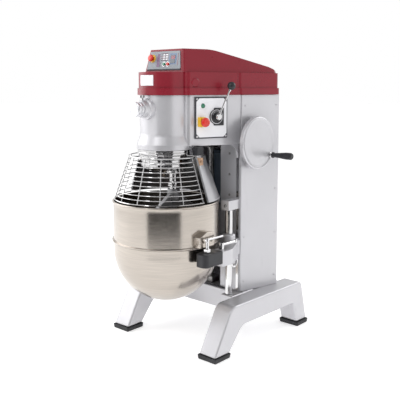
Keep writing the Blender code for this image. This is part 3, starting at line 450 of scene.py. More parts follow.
def on_side(y, height, proud=0.0, sign=1.0):
    """Frame on the body's side: y up, z out of the side, x along it."""
    first = BODY_PLAN[0] if y < COLUMN_FRONT else BODY_PLAN[1]
    last = BODY_PLAN[1] if y < COLUMN_FRONT else BODY_PLAN[2]
    run = Vector((sign * (last[1] - first[1]), last[0] - first[0], 0)).normalized()
    out = Vector((sign * run.y, -sign * run.x, 0))
    turned = Matrix((run * sign, Vector((0, 0, 1)), out)).transposed()
    place = Vector((sign * half_width(y), y, height)) + out * proud
    return Matrix.Translation(place) @ turned.to_4x4()


SIDE_RUN = Vector((BODY_PLAN[1][1] - BODY_PLAN[0][1], BODY_PLAN[1][0], 0)).normalized()


def on_head_side(along, height, proud=0.0):
    """Frame on the head's right side, from its front corner: x rearwards, y up, z out."""
    out = Vector((SIDE_RUN.y, -SIDE_RUN.x, 0))
    place = Vector((BODY_PLAN[0][1] - 0.0005, 0, height)) + SIDE_RUN * along + out * proud
    turned = Matrix((SIDE_RUN, Vector((0, 0, 1)), out)).transposed()
    return Matrix.Translation(place) @ turned.to_4x4()


HOOD_FACE_LEAN = math.atan2(0.030, 0.168)
HOOD_FRONT = -0.010          # foot of the hood's front
HOOD_DRAFT = 1.52            # how fast the hood narrows, per metre of height


def on_hood_face(x, height, proud=0.0):
    """Frame on the hood's leaning front: x right, y up the face, z out of it."""
    tilt = Matrix.Rotation(math.pi / 2 - HOOD_FACE_LEAN, 4, 'X')
    foot = Matrix.Translation((0, HOOD_FRONT, COVER_TOP + 0.0005))
    return foot @ tilt @ Matrix.Translation((x, height, proud))


FORWARD = Matrix.Translation((0, 0, HUB_Z)) @ Matrix.Rotation(math.pi / 2, 4, 'X')   # z points forwards


JOINT_Y = COLUMN_FRONT - 0.018       # the groove in the belt cover


def body_outline(outset, rear, corner, nose=HEAD_RADIUS, shoulder_round=0.024, groove=0.0):
    """Plan of the head and its covers: round nose, wedge sides and a straight rear."""
    radius = nose + outset
    bend = COLUMN_FRONT
    right = [(BODY_PLAN[0][1] + outset, 0.002 - outset, shoulder_round)]
    if groove:
        for step, depth, turn in ((-0.010, 0.0, 0.004), (-0.0045, groove, 0.002),
                                  (0.0015, groove, 0.004), (0.010, 0.0, 0.004)):
            right.append((half_width(JOINT_Y + step, outset - depth), JOINT_Y + step, turn))
    if rear > bend:
        right.append((half_width(bend, outset), bend, 0.0))
    right.append((half_width(rear, outset), rear, corner))
    left = [(-x, y, r) for x, y, r in reversed(right)]
    dip = math.degrees(math.asin(outset / radius))
    front = [(x, y, 0.0) for x, y in arc(radius, 180.0 + dip, 360.0 - dip, 64)]
    return filleted(front + right + left, 6)


# ---------------------------------------------------------------- base and column
class MIXER_OT_base(bpy.types.Operator):
    """Cast legs with round edges, their rubber pads, and the screws and seal on the deck"""
    bl_idname = "mixer.base"
    bl_label = "Base"

    def execute(self, context):
        edge = context.scene.mixer_sizes.casting_edge
        outline = filleted([
            (-0.038, SOLE, 0.0), (0.080, DECK_TOP, 0.055), (0.626, DECK_TOP, 0.030),
            (0.675, SOLE, 0.0), (0.590, SOLE, 0.0), (0.560, BAR_BOTTOM, 0.022),
            (0.155, BAR_BOTTOM, 0.062), (0.061, SOLE, 0.0)], 12)
        for side, sign in SIDES:
            place = Matrix.Translation((sign * LEG_FRONT.x, 0, 0)) @ Matrix.Rotation(
                -sign * LEG_RAKE, 4, 'Z') @ SIDE_ON
            piece(f"cast_leg_{side}", [slab(outline, -LEG_WIDTH / 2, LEG_WIDTH / 2, place)],
                  "silver_paint", nodes=[f"base_leg_{side}"], edge=edge, segments=4)
            for end in ("front", "rear"):
                low, high = corners(f"foot_{end}_{side}")
                pad = block(low, high)
                tread = [v for v in pad.verts if v.co.z < high.z / 2]
                bmesh.ops.scale(pad, vec=(0.95, 0.95, 1.0), verts=tread,
                                space=Matrix.Translation(-(low + high) / 2))
                lip = block((low.x + 0.003, low.y + 0.003, high.z - 0.007),
                            (high.x - 0.003, high.y - 0.003, high.z))
                piece(f"rubber_pad_{end}_{side}", [pad, lip], "rubber",
                      nodes=[f"foot_{end}_{side}"], edge=0.004)
        low, high = corners("base_deck")
        screws = []
        for side, sign in SIDES:
            for y in (0.262 + 0.02, 0.540):
                screws.append(socket_screw(Matrix.Translation((sign * (y * 0.02 + 0.225), y, high.z)),
                                           0.006, 0.004))
        piece("deck_screws", screws, "dull_steel")
        seal = block((-0.17, 0.2655, high.z), (0.17, 0.277, high.z + 0.005))
        piece("deck_seal", [seal], "dark_seal", edge=0.0015)
        return {'FINISHED'}


class MIXER_OT_column(bpy.types.Operator):
    """Sheet covers of the column with their screws, slide strips and rear louvres"""
    bl_idname = "mixer.column"
    bl_label = "Column"

    def execute(self, context):
        panel = 0.004
        low, high = corners("side_cover_right")
        top, bottom = high.z, low.z
        for side, sign in SIDES:
            ys = (COLUMN_FRONT, BODY_REAR)
            front = COLUMN_FRONT - 0.0030
            outline = filleted([
                (half_width(BODY_REAR, -panel), BODY_REAR, 0.0), (half_width(ys[0], -panel), ys[0], 0.0),
                (half_width(ys[0], -0.011), ys[0] - 0.0004, 0.0), (half_width(ys[0], -0.011), front, 0.001),
                (half_width(ys[0]) + 0.0002, front, 0.0072), (half_width(BODY_REAR), BODY_REAR, 0.0)], 8)
            piece(f"column_sheet_{side}", [slab(signed(outline, sign), bottom, top)], "silver_paint",
                  nodes=[f"side_cover_{side}"], edge=0.0015, segments=3)
            screws = [socket_screw(on_side(y, z, 0.0, sign), 0.0045, 0.0025)
                      for y in (COLUMN_FRONT + 0.018, BODY_REAR - 0.018)
                      for z in (bottom + 0.05, 0.5, 0.72, top - 0.05)
                      if not (y < 0.4 and z == 0.72)]
            piece(f"column_screws_{side}", screws, "silver_paint")
            x0, x1 = sorted((sign * 0.1975, sign * 0.2125))
            strip = block((x0, COLUMN_FRONT - 0.0016, bottom + 0.004), (x1, COLUMN_FRONT - 0.0003, 0.940))
            piece(f"slide_strip_{side}", [strip], "bright_steel", edge=0.0005, segments=2)
            forward = Matrix.Rotation(math.pi / 2, 4, 'X')
            bolts = [socket_screw(Matrix.Translation((sign * 0.155, COLUMN_FRONT - 0.0002, z)) @ forward,
                                  0.006, 0.0015) for z in (0.30, 0.56, 0.70, 0.80, 0.90)]
            piece(f"column_bolts_{side}", bolts, "dull_steel")
            x = sign * POST_X
            foot, head = corners(f"guide_post_{side}")
            post = lathe([(0.0, head.z), (POST_RADIUS - 0.0015, head.z), (POST_RADIUS, head.z - 0.0015),
                          (POST_RADIUS, foot.z + 0.0015), (POST_RADIUS - 0.0015, foot.z), (0.0, foot.z)],
                         48, Matrix.Translation((x, POST_Y, 0)))
            piece(f"polished_post_{side}", [post], "bright_steel", nodes=[f"guide_post_{side}"])
            lug_bolt = socket_screw(Matrix.Translation((x, POST_Y - 0.0262, 0.662)) @ forward, 0.007, 0.006)
            piece(f"post_lug_bolt_{side}", [lug_bolt], "dull_steel")

        rear = corners("rear_cover")[1].y
        back = Matrix.Rotation(-math.pi / 2, 4, 'X')
        louvres = [slab(filleted([(-0.09, -0.010, 0.009), (0.09, -0.010, 0.009), (0.09, 0.004, 0.0),
                                  (-0.09, 0.004, 0.0)]), 0.0, 0.005,
                        Matrix.Translation((0, rear - 0.0003, 0.86 + 0.026 * row)) @ back)
                   for row in range(8)]
        piece("rear_louvres", louvres, "silver_paint", edge=0.0022)
        half = corners("rear_cover")[1].x - 0.014
        screws = [socket_screw(Matrix.Translation((x, rear - 0.0002, z)) @ back, 0.0045, 0.0025)
                  for x in (-half, half) for z in (0.27, 0.56, 0.86, 1.15)]
        piece("rear_screws", screws, "bright_steel")
        boss = lathe([(0.0125, 0.012), (0.019, 0.012), (0.021, 0.010), (0.024, 0.004), (0.032, 0.003),
                      (0.032, 0.0), (0.0125, 0.0)], 48,
                     on_side(SCREW_Y, WHEEL_MIDDLE.z, -0.001), closed=True)
        piece("lift_shaft_boss", [boss], "silver_paint", sharp=50.0)
        return {'FINISHED'}


# ---------------------------------------------------------------- bowl lift
class MIXER_OT_lift(bpy.types.Operator):
    """Threaded lead screw, dished handwheel and its turning grip"""
    bl_idname = "mixer.lift"
    bl_label = "Bowl lift"

    def execute(self, context):
        pitch = context.scene.mixer_sizes.thread_pitch
        low, high = corners("lead_screw")
        core, crest = 0.0112, 0.0138
        thread_low, thread_high = low.z + 0.010, high.z - 0.045
        turns = int((thread_high - thread_low) / pitch)
        ridge = [(core - 0.001, 0.0), (crest, pitch * 0.16), (crest, pitch * 0.46),
                 (core - 0.001, pitch * 0.62)]
        place = Matrix.Translation((0, SCREW_Y, thread_low))
        thread = lathe(ridge, 20 * turns, place, closed=True, sweep=360.0 * turns, lead=pitch * turns)
        bar = rod((0, SCREW_Y, low.z), (0, SCREW_Y, high.z - 0.012), core)
        gear = lathe([(0.0, 0.0), (0.020, 0.0), (0.031, -0.012), (0.029, -0.015), (0.016, -0.016),
                      (0.016, -0.026), (0.0, -0.026)], 48, Matrix.Translation((0, SCREW_Y, high.z)))
        piece("threaded_screw", [thread, bar, gear], "dull_steel", "lift_screw", ["lead_screw"])

        radius = (WHEEL_HIGH.z - WHEEL_LOW.z) / 2
        hub = Matrix.Translation((WHEEL_LOW.x + 0.008, WHEEL_MIDDLE.y, WHEEL_MIDDLE.z)) @ Matrix.Rotation(
            math.pi / 2, 4, 'Y')
        dish = filleted([
            (0.0, 0.0135, 0.0), (radius * 0.55, 0.0128, 0.10), (radius - 0.013, 0.0098, 0.02),
            (radius - 0.008, 0.0138, 0.006), (radius, 0.0125, 0.006), (radius, -0.008, 0.0022),
            (radius - 0.0045, -0.008, 0.002), (radius - 0.0075, 0.005, 0.006), (0.030, 0.007, 0.01),
            (0.0245, 0.0, 0.002), (0.0, 0.0, 0.0)], 5, closed=False)
        piece("dished_handwheel", [lathe(dish, 128, hub)], "silver_paint", "lift_wheel", ["handwheel"])

        length, foot = GRIP_HIGH.x - GRIP_LOW.x - 0.018, 0.014
        grip = filleted([
            (0.0, length, 0.0), (0.0120, length, 0.004), (0.0165, length - 0.006, 0.005),
            (0.0168, length * 0.74, 0.06), (0.0125, length * 0.40, 0.05), (0.0105, foot + 0.014, 0.004),
            (0.0140, foot + 0.008, 0.002), (0.0140, foot, 0.001), (0.0, foot, 0.0)], 6, closed=False)
        along = Matrix.Translation((GRIP_LOW.x, (GRIP_LOW.y + GRIP_HIGH.y) / 2,
                                    (GRIP_LOW.z + GRIP_HIGH.z) / 2)) @ Matrix.Rotation(math.pi / 2, 4, 'Y')
        piece("moulded_grip", [lathe(grip, 48, along)], "black_plastic", "wheel_grip",
              ["handwheel_grip"])
        stud = filleted([
            (0.0, 0.020, 0.0), (0.0075, 0.020, 0.0), (0.0075, 0.006, 0.001), (0.0115, 0.0045, 0.001),
            (0.0115, 0.0, 0.0), (0.0, 0.0, 0.0)], 4, closed=False)
        piece("grip_stud", [lathe(stud, 40, along)], "bright_steel", "wheel_grip")
        return {'FINISHED'}


class MIXER_OT_yoke(bpy.types.Operator):
    """Cast fork with round edges, its rubber end caps and the clamp levers"""
    bl_idname = "mixer.yoke"
    bl_label = "Bowl yoke"

    def execute(self, context):
        low, high = 0.385, 0.495
        beam = block((-POST_X - 0.018, 0.2560, low), (POST_X + 0.018, 0.2760, high))
        tongue = block((-0.030, 0.270, low + 0.045), (0.030, SCREW_Y + 0.030, high - 0.015))
        parts = [beam, tongue]
        for side, sign in SIDES:
            x = sign * POST_X
            bush = lathe([(POST_RADIUS + 0.0005, high + 0.030), (0.027, high + 0.030),
                          (0.031, high + 0.026), (0.031, low), (0.028, low - 0.003),
                          (POST_RADIUS + 0.0005, low - 0.003)], 48,
                         Matrix.Translation((x, POST_Y, 0)), closed=True)
            arm = filleted([(0.258, 0.0295, 0.0), (0.3185, 0.0295, 0.0), (0.3185, 0.100, 0.09),
                            (0.2340, 0.250, 0.05), (0.2320, 0.262, 0.0), (0.2295, 0.235, 0.01),
                            (0.2310, 0.170, 0.06), (0.2580, 0.105, 0.05)], 10)
            neck = [(0.2300, 0.210), (0.2420, 0.190), (0.2420, 0.236), (0.2300, 0.236)]
            web = filleted([(0.030, 0.440, 0.0), (0.215, 0.440, 0.0), (0.215, 0.386, 0.02),
                            (0.150, 0.392, 0.06), (0.030, 0.425, 0.03)], 8)
            parts += [bush, slab(signed(arm, sign), 0.425, high - 0.002),
                      slab(signed(neck, sign), 0.400, high),
                      slab(web, -0.007, 0.007, Matrix.Translation((sign * 0.279, 0, 0)) @ Matrix.Rotation(
                          sign * 0.42, 4, 'Z') @ SIDE_ON)]
        piece("cast_yoke", parts, "silver_paint", "bowl_carriage", ["bowl_yoke"], edge=0.005,
              segments=4)

        for side, sign in SIDES:
            tip_y, outer_x = (-0.088, 0.3215) if sign > 0 else (-0.058, 0.3130)
            end = filleted([(0.2580, tip_y, 0.020), (outer_x, tip_y, 0.024), (outer_x, 0.0295, 0.004),
                            (0.2580, 0.0295, 0.004)], 8)
            piece(f"rubber_cap_{side}", [slab(signed(end, sign), 0.4400, 0.4985)], "black_plastic",
                  "bowl_carriage", [f"yoke_cap_{side}"], edge=0.007, segments=4)
            pin = Vector((sign * 0.293, -0.045 if sign > 0 else -0.025, 0.0))
            upright = lathe([(0.0, 0.066), (0.006, 0.066), (0.009, 0.063), (0.009, 0.050), (0.0075, 0.048),
                             (0.0075, 0.022), (0.010, 0.019), (0.0105, 0.0), (0.0, 0.0)], 32,
                            Matrix.Translation(pin + Vector((0, 0, 0.4992))))
            arm = rod(pin + Vector((0, -0.012, 0.557)), pin + Vector((0, 0.103, 0.557)), 0.0050, 24)
            tip = ball(pin + Vector((0, 0.103, 0.557)), 0.0052)
            jaw = block(pin + Vector((-0.0105, -0.0105, 0.5000)), pin + Vector((0.0105, 0.0105, 0.517)))
            piece(f"polished_clamp_{side}", [upright, arm, tip, jaw], "bright_steel", f"clamp_{side}",
                  [f"clamp_lever_{side}"], edge=0.0015)
            stop_lug = lathe([(0.0, 0.034), (0.010, 0.034), (0.012, 0.031), (0.012, 0.0), (0.0, 0.0)], 32,
                             Matrix.Translation((sign * 0.288, 0.058, high - 0.003)))
            bar = rod((sign * 0.288, 0.058, 0.514), (sign * 0.288, 0.155, 0.514), 0.0065, 24)
            knob = ball((sign * 0.288, 0.158, 0.514), 0.0095)
            piece(f"arm_stop_{side}", [stop_lug, bar, knob], "bright_steel", "bowl_carriage", sharp=40.0)
            hook = bent_bar([(sign * 0.268, 0.196, 0.418), (sign * 0.268, 0.196, 0.402),
                             (sign * 0.268, 0.182, 0.386), (sign * 0.268, 0.160, 0.388),
                             (sign * 0.268, 0.157, 0.404)], 0.005)
            piece(f"yoke_hook_{side}", [hook], "bright_steel", "bowl_carriage")
        return {'FINISHED'}


class MIXER_OT_bowl(bpy.types.Operator):
    """Spun bowl with a rolled rim, a joint flange and folded ears"""
    bl_idname = "mixer.bowl"
    bl_label = "Bowl"

    def execute(self, context):
        bead = 0.0045
        centre = (BOWL_RADIUS + 0.0005, BOWL_TOP - bead)
        inner = BOWL_RADIUS - BOWL_WALL
        depth = BOWL_BEND_Z - BOWL_FOOT
        rim = arc(bead, 200.0, -70.0, 14, centre)
        flange = filleted([
            (BOWL_RADIUS, BOWL_RING_Z + 0.020, 0.0), (BOWL_RADIUS, BOWL_RING_Z + 0.0045, 0.002),
            (BOWL_RING_RADIUS, BOWL_RING_Z + 0.0045, 0.0012), (BOWL_RING_RADIUS, BOWL_RING_Z + 0.0005, 0.001),
            (BOWL_RADIUS + 0.0012, BOWL_RING_Z - 0.0065, 0.004), (BOWL_RADIUS, BOWL_RING_Z - 0.020, 0.0)],
            5, closed=False)
        angles = [math.pi / 2 * step / 40 for step in range(41)]
        outside = [(BOWL_RADIUS * math.cos(a), BOWL_BEND_Z - depth * math.sin(a)) for a in angles[:-1]]
        inside = [(inner * math.cos(a), BOWL_BEND_Z - (depth - BOWL_WALL) * math.sin(a))
                  for a in reversed(angles[:-1])]
        turns = [BOWL_TOP - 0.012 - step * 0.016 for step in range(9)]      # rows that keep the shading level
        profile = (rim + [(BOWL_RADIUS, z) for z in turns] + flange + outside
                   + [(0.0, BOWL_FOOT), (0.0, BOWL_FOOT + BOWL_WALL)] + inside
                   + [(inner, z) for z in reversed(turns)])
        parts = [lathe(profile, 160, closed=True)]
        for side, sign in SIDES:
            wall = [(math.sqrt(BOWL_RADIUS ** 2 - y ** 2) - 0.0006, y) for y in
                    [-0.072 + 0.094 * step / 10 for step in range(11)]]
            plan = wall + [(0.276, 0.022), (0.276, -0.072)]
            ear = slab(signed(plan, sign), 0.5185, 0.585)
            for point, normal in (((0, -0.030, 0.585), (0, -0.45, 1)), ((0, -0.022, 0.585), (0, 0.16, 1))):
                cut = bmesh.ops.bisect_plane(ear, geom=ear.verts[:] + ear.edges[:] + ear.faces[:],
                                             plane_co=point, plane_no=normal, clear_outer=True)
                bmesh.ops.holes_fill(ear, edges=[item for item in cut["geom_cut"]
                                                 if isinstance(item, bmesh.types.BMEdge)], sides=0)
            bmesh.ops.recalc_face_normals(ear, faces=ear.faces)
            bmesh.ops.bevel(ear, geom=ear.edges[:], offset=0.003, segments=3, profile=0.5,
                            affect='EDGES', material=-1, clamp_overlap=True)
            parts.append(ear)
            outward = Matrix.Rotation(sign * math.pi / 2, 4, 'Y')
            parts += [socket_screw(Matrix.Translation((sign * 0.2757, y, 0.545)) @ outward, 0.006, 0.004)
                      for y in (-0.050, 0.002)]
        piece("spun_bowl", parts, "bowl_steel", "bowl_carriage", ["mixing_bowl"], sharp=32.0)
        return {'FINISHED'}


# ---------------------------------------------------------------- head
class MIXER_OT_head(bpy.types.Operator):
    """Head casting with its round nose, trim rings and the attachment hub"""
    bl_idname = "mixer.head"
    bl_label = "Head"

    def execute(self, context):
        rear = COLUMN_FRONT - 0.0005
        body = slab(body_outline(-0.0005, rear, 0.007, 0.104), HEAD_BOTTOM, BODY_TOP)
        under = [edge for edge in body.edges if all(v.co.z < HEAD_BOTTOM + 0.001 for v in edge.verts)]
        bmesh.ops.bevel(body, geom=under, offset=0.012, segments=5, profile=0.5, affect='EDGES',
                        material=-1, clamp_overlap=True)
        nose = lathe(filleted([
            (0.0, BODY_TOP, 0.0), (HEAD_RADIUS, BODY_TOP, 0.0), (HEAD_RADIUS, 1.000, 0.050),
            (NOSE_FLARE, 0.958, 0.020), (NOSE_FLARE, NOSE_BOTTOM, 0.003), (0.0, NOSE_BOTTOM, 0.0)],
            10, closed=False), 160)
        knees = []
        for sign in (1.0, -1.0):             # round knee from the head's underside to the column
            knee = filleted([(0.150, HEAD_BOTTOM + 0.012, 0.0), (0.150, HEAD_BOTTOM + 0.0005, 0.0),
                             (COLUMN_FRONT - 0.018, HEAD_BOTTOM + 0.0005, 0.060),
                             (COLUMN_FRONT - 0.0005, 0.885, 0.0),
                             (COLUMN_FRONT - 0.0005, HEAD_BOTTOM + 0.012, 0.0)], 12)
            lean = math.atan2(BODY_PLAN[1][1] - BODY_PLAN[0][1], COLUMN_FRONT)
            place = Matrix.Translation((sign * (BODY_PLAN[0][1] - 0.009), 0, 0)) @ Matrix.Rotation(
                -sign * lean, 4, 'Z') @ SIDE_ON
            knees.append(slab(knee, -0.007, 0.007, place))
        piece("cast_head", [body, nose] + knees, "silver_paint", nodes=["head_housing"], sharp=30.0)

        low, high = corners("head_trim_ring")
        radius, hollow = high.x, 0.1195
        rings = lathe(filleted([
            (hollow, high.z, 0.0), (radius - 0.001, high.z, 0.001), (radius - 0.001, high.z - 0.0065, 0.0015),
            (radius - 0.004, high.z - 0.008, 0.0), (radius - 0.004, high.z - 0.010, 0.0),
            (radius, high.z - 0.0115, 0.0015), (radius, low.z, 0.0015), (hollow, low.z, 0.0)], 4),
            128, closed=True)
        piece("trim_rings", [rings], "bright_steel", nodes=["head_trim_ring"])

        hub = lathe(filleted([
            (0.0265, 0.160, 0.0), (0.0365, 0.160, 0.002), (0.0385, 0.134, 0.004), (0.047, 0.131, 0.003),
            (0.047, 0.108, 0.0), (0.0265, 0.108, 0.0)], 5), 64, FORWARD, closed=True)
        parts = [hub]
        for index in range(4):
            angle = math.radians(45 + 90 * index)
            parts.append(socket_screw(FORWARD @ Matrix.Translation(
                (0.0425 * math.cos(angle), 0.0425 * math.sin(angle), 0.1305)), 0.0032, 0.003))
        parts.append(lathe([(0.0, 0.0405), (0.007, 0.0405), (0.0085, 0.037), (0.0085, 0.030), (0.0, 0.030)],
                           32, Matrix.Translation((0, -0.144, HUB_Z))))
        piece("cast_hub", parts, "silver_paint", nodes=["attachment_hub"])

        plug = lathe(filleted([
            (0.0, 0.196, 0.0), (0.0255, 0.196, 0.003), (0.0325, 0.1925, 0.004), (0.0325, 0.181, 0.001),
            (0.0300, 0.1795, 0.0), (0.0300, 0.1765, 0.0), (0.0325, 0.175, 0.001), (0.0325, 0.1605, 0.001),
            (0.026, 0.1605, 0.0), (0.026, 0.122, 0.001), (0.0, 0.122, 0.0)], 4, closed=False), 96, FORWARD)
        piece("polished_hub_plug", [plug], "satin_steel", "hub_cap", ["hub_plug"])

        knurl = []
        for index in range(48):
            angle = math.pi * index / 24
            radius = 0.0122 if index % 2 else 0.0112
            knurl.append((radius * math.cos(angle), radius * math.sin(angle)))
        stem = Matrix.Translation((0, -0.144, HUB_Z))
        head = slab(knurl, 0.050, 0.061, stem)
        shank = lathe([(0.0, 0.063), (0.008, 0.0625), (0.0095, 0.0605), (0.006, 0.052), (0.006, 0.0412),
                       (0.0, 0.0412)], 32, stem)
        piece("knurled_thumb_screw", [head, shank], "bright_steel", "hub_screw", ["hub_thumb_screw"],
              sharp=25.0)
        return {'FINISHED'}


class MIXER_OT_covers(bpy.types.Operator):
    """Red belt cover with its lip and joint groove, and the raised hood"""
    bl_idname = "mixer.covers"
    bl_label = "Red covers"

    def execute(self, context):
        rear = BODY_REAR
        groove = 0.0045
        wall = slab(body_outline(0.003, rear + 0.003, 0.022, groove=groove), 1.195, COVER_TOP)
        lip = slab(body_outline(0.009, rear + 0.009, 0.026, groove=groove), COVER_BOTTOM, 1.211)
        for part, floor in ((wall, 1.195), (lip, COVER_BOTTOM)):
            under = [face for face in part.faces if all(v.co.z < floor + 0.001 for v in face.verts)]
            bmesh.ops.delete(part, geom=under, context='FACES_ONLY')
        piece("belt_cover", [wall], "red_shell", nodes=["lower_cover"], edge=0.0055, segments=4, wall=0.004,
              sharp=40.0)
        piece("belt_cover_lip", [lip], "red_shell", edge=0.0028, segments=3, wall=0.004, sharp=40.0)

        low = COVER_TOP + 0.0005
        back = rear
        front_x, bend_x, rear_x = 0.124, half_width(0.278, -0.012), half_width(back, -0.006)
        plan = filleted([(-front_x, HOOD_FRONT, 0.012), (front_x, HOOD_FRONT, 0.012), (bend_x, 0.278, 0.0),
                         (rear_x, back, 0.020), (-rear_x, back, 0.020), (-bend_x, 0.278, 0.0)], 6)
        tall = 1.45
        hood = slab(plan, low, tall)
        for vertex in hood.verts:                # draft: the sides lean inwards
            if vertex.co.z > low + 0.01:
                vertex.co.x *= 1.0 - HOOD_DRAFT * (tall - low)
                vertex.co.y += 0.030 * (1.0 - vertex.co.y / back)
        bend_y = 0.155
        steps = [Vector((0, bend_y, HOOD_TOP)), Vector((0, back - 0.050, 1.312)),
                 Vector((0, back - 0.024, 1.3015)), Vector((0, back + 0.002, 1.2840))]
        limits = [((0, 0, HOOD_TOP), Vector((0, 0, 1)))]
        for start, end in zip(steps, steps[1:]):
            run = end - start
            limits.append((start, Vector((0, -run.z, run.y)).normalized()))
        for point, normal in limits:
            cut = bmesh.ops.bisect_plane(hood, geom=hood.verts[:] + hood.edges[:] + hood.faces[:],
                                         plane_co=point, plane_no=normal, clear_outer=True)
            bmesh.ops.holes_fill(hood, edges=[item for item in cut["geom_cut"]
                                              if isinstance(item, bmesh.types.BMEdge)], sides=0)
        bmesh.ops.recalc_face_normals(hood, faces=hood.faces)
        ridge = [edge for edge in hood.edges
                 if all(abs(v.co.y - bend_y) < 0.0005 and v.co.z > HOOD_TOP - 0.001 for v in edge.verts)]
        bmesh.ops.bevel(hood, geom=ridge, offset=0.030, segments=6, profile=0.5, affect='EDGES',
                        material=-1, clamp_overlap=True)
        under = [face for face in hood.faces if all(v.co.z < low + 0.001 for v in face.verts)]
        bmesh.ops.delete(hood, geom=under, context='FACES_ONLY')
        piece("hood_shell", [hood], "red_shell", nodes=["top_hood"], edge=0.007, segments=5, wall=0.004,
              sharp=22.0)

        plate = lathe([(0.1245, 1.268), (0.1245, 1.222), (0.1205, 1.222), (0.1205, 1.268)], 24,
                      closed=True, start=-108.0, sweep=37.0)
        piece("blank_nose_plate", [plate], "white_plate", edge=0.001)
        knob = lathe(filleted([(0.0, 0.0035, 0.0), (0.0165, 0.0035, 0.002), (0.0200, 0.0012, 0.001),
                               (0.0205, -0.001, 0.0), (0.0, -0.001, 0.0)], 4, closed=False), 48,
                     on_side(0.036, 1.236, 0.0033))
        piece("cover_plug", [knob], "red_shell")
        return {'FINISHED'}


# ---------------------------------------------------------------- controls
DIGIT_BARS = {"0": "abcdef", "1": "bc", "5": "acdfg"}      # lit bars of a seven-bar digit
BAR_PLACES = {"a": (0, 1, 0), "b": (0.5, 0.5, 1), "c": (0.5, -0.5, 1), "d": (0, -1, 0),
              "e": (-0.5, -0.5, 1), "f": (-0.5, 0.5, 1), "g": (0, 0, 0)}


def digit(character, place, size):
    """Seven-bar digit of the given half height."""
    bars = []
    for name in DIGIT_BARS[character]:
        x, y, upright = BAR_PLACES[name]
        half = (size * 0.07, size * 0.42) if upright else (size * 0.42, size * 0.07)
        centre = (x * size, y * size)
        bars.append(block((centre[0] - half[0], centre[1] - half[1], 0),
                          (centre[0] + half[0], centre[1] + half[1], 0.0004), place))
    return bars


class MIXER_OT_timer(bpy.types.Operator):
    """Timer panel on the hood: plate, window with digits, legends, keys and stop button"""
    bl_idname = "mixer.timer"
    bl_label = "Timer panel"

    def execute(self, context):
        back, thick = 0.0006, 0.003
        key_places = [((low.x + high.x) / 2, 0.036) for low, high in map(corners, ("start_key", "pause_key"))]
        holes = [arc(0.0085, 0.0, 345.0, 23, place) for place in [HOOD_STOP_AT] + key_places]
        plate = slab(filleted([(-0.109, 0.014, 0.005), (0.104, 0.014, 0.005), (0.0895, 0.095, 0.005),
                               (-0.0945, 0.095, 0.005)]), 0.0, thick, on_hood_face(0, 0, back), holes)
        piece("timer_plate", [plate], "grey_panel", nodes=["timer_panel"], edge=0.0004)
        top = back + thick
        border = slab(filleted([(-0.110, 0.0085, 0.002), (0.105, 0.0085, 0.002), (0.1045, 0.0132, 0.001),
                                (-0.1095, 0.0132, 0.001)], 4), 0.0, 0.0030, on_hood_face(0, 0, back))
        piece("timer_border", [border], "dark_seal", edge=0.0008)

        def label(x0, y0, x1, y1, rise=0.0005):
            return slab(filleted([(x0, y0, 0.002), (x1, y0, 0.002), (x1, y1, 0.002), (x0, y1, 0.002)], 4),
                        0.0, rise, on_hood_face(0, 0, top))
        piece("timer_window", [label(0.036, 0.040, 0.066, 0.078, 0.0012)], "display_glass", edge=0.0004)
        digits = []
        for index, character in enumerate("150"):
            digits += digit(character, on_hood_face(0.0415 + 0.0095 * index, 0.066, top + 0.0012), 0.0058)
        piece("timer_digits", digits, "digit_glow")
        piece("timer_blue_field", [label(0.028, 0.034, 0.074, 0.084, 0.0003)], "legend_blue")
        piece("timer_plum_field", [label(-0.048, 0.024, -0.030, 0.084, 0.0003)], "legend_plum")
        piece("timer_pink_lines", [label(-0.024, y, 0.020, y + 0.0022) for y in (0.052, 0.062, 0.072, 0.083)]
              + [label(0.082, 0.030, 0.0845, 0.084), label(-0.026, 0.024, -0.024, 0.046)], "legend_pink")
        keys = [label(x, y, x + 0.011, y + 0.007) for x in (-0.010, 0.008) for y in (0.0555, 0.0655, 0.0755)]
        piece("timer_small_keys", keys, "white_plate", edge=0.0002)

        for name, node_name, body, finish_name, (x, y) in (
                ("round_start_key", "start_key", "start", "lamp_green", key_places[0]),
                ("round_pause_key", "pause_key", "pause", "button_red", key_places[1])):
            key = lathe(filleted([(0.0, 0.0055, 0.0), (0.0066, 0.0052, 0.0015), (0.0080, 0.0035, 0.001),
                                  (0.0080, 0.0, 0.0), (0.0, 0.0, 0.0)], 4, closed=False), 40,
                        on_hood_face(x, y, top + 0.0003))
            piece(name, [key], finish_name, body, [node_name])
            collar = lathe([(0.0088, 0.0016), (0.0105, 0.0016), (0.0115, 0.0), (0.0088, 0.0)], 40,
                           on_hood_face(x, y, top), closed=True)
            piece(f"{node_name}_collar", [collar], "bright_steel")
        mushroom = filleted([
            (0.0, 0.022, 0.0), (0.011, 0.0215, 0.012), (0.0165, 0.0175, 0.004), (0.0160, 0.0125, 0.002),
            (0.0080, 0.0095, 0.001), (0.0080, 0.0, 0.0), (0.0, 0.0, 0.0)], 6, closed=False)
        piece("hood_stop_mushroom", [lathe(mushroom, 64, on_hood_face(*HOOD_STOP_AT, top + 0.0003))],
              "button_red", "hood_stop", ["hood_stop_button"])
        collar = lathe([(0.0088, 0.004), (0.014, 0.004), (0.018, 0.001), (0.018, 0.0), (0.0088, 0.0)], 48,
                       on_hood_face(*HOOD_STOP_AT, top), closed=True)
        piece("hood_stop_collar", [collar], "signal_yellow")
        return {'FINISHED'}


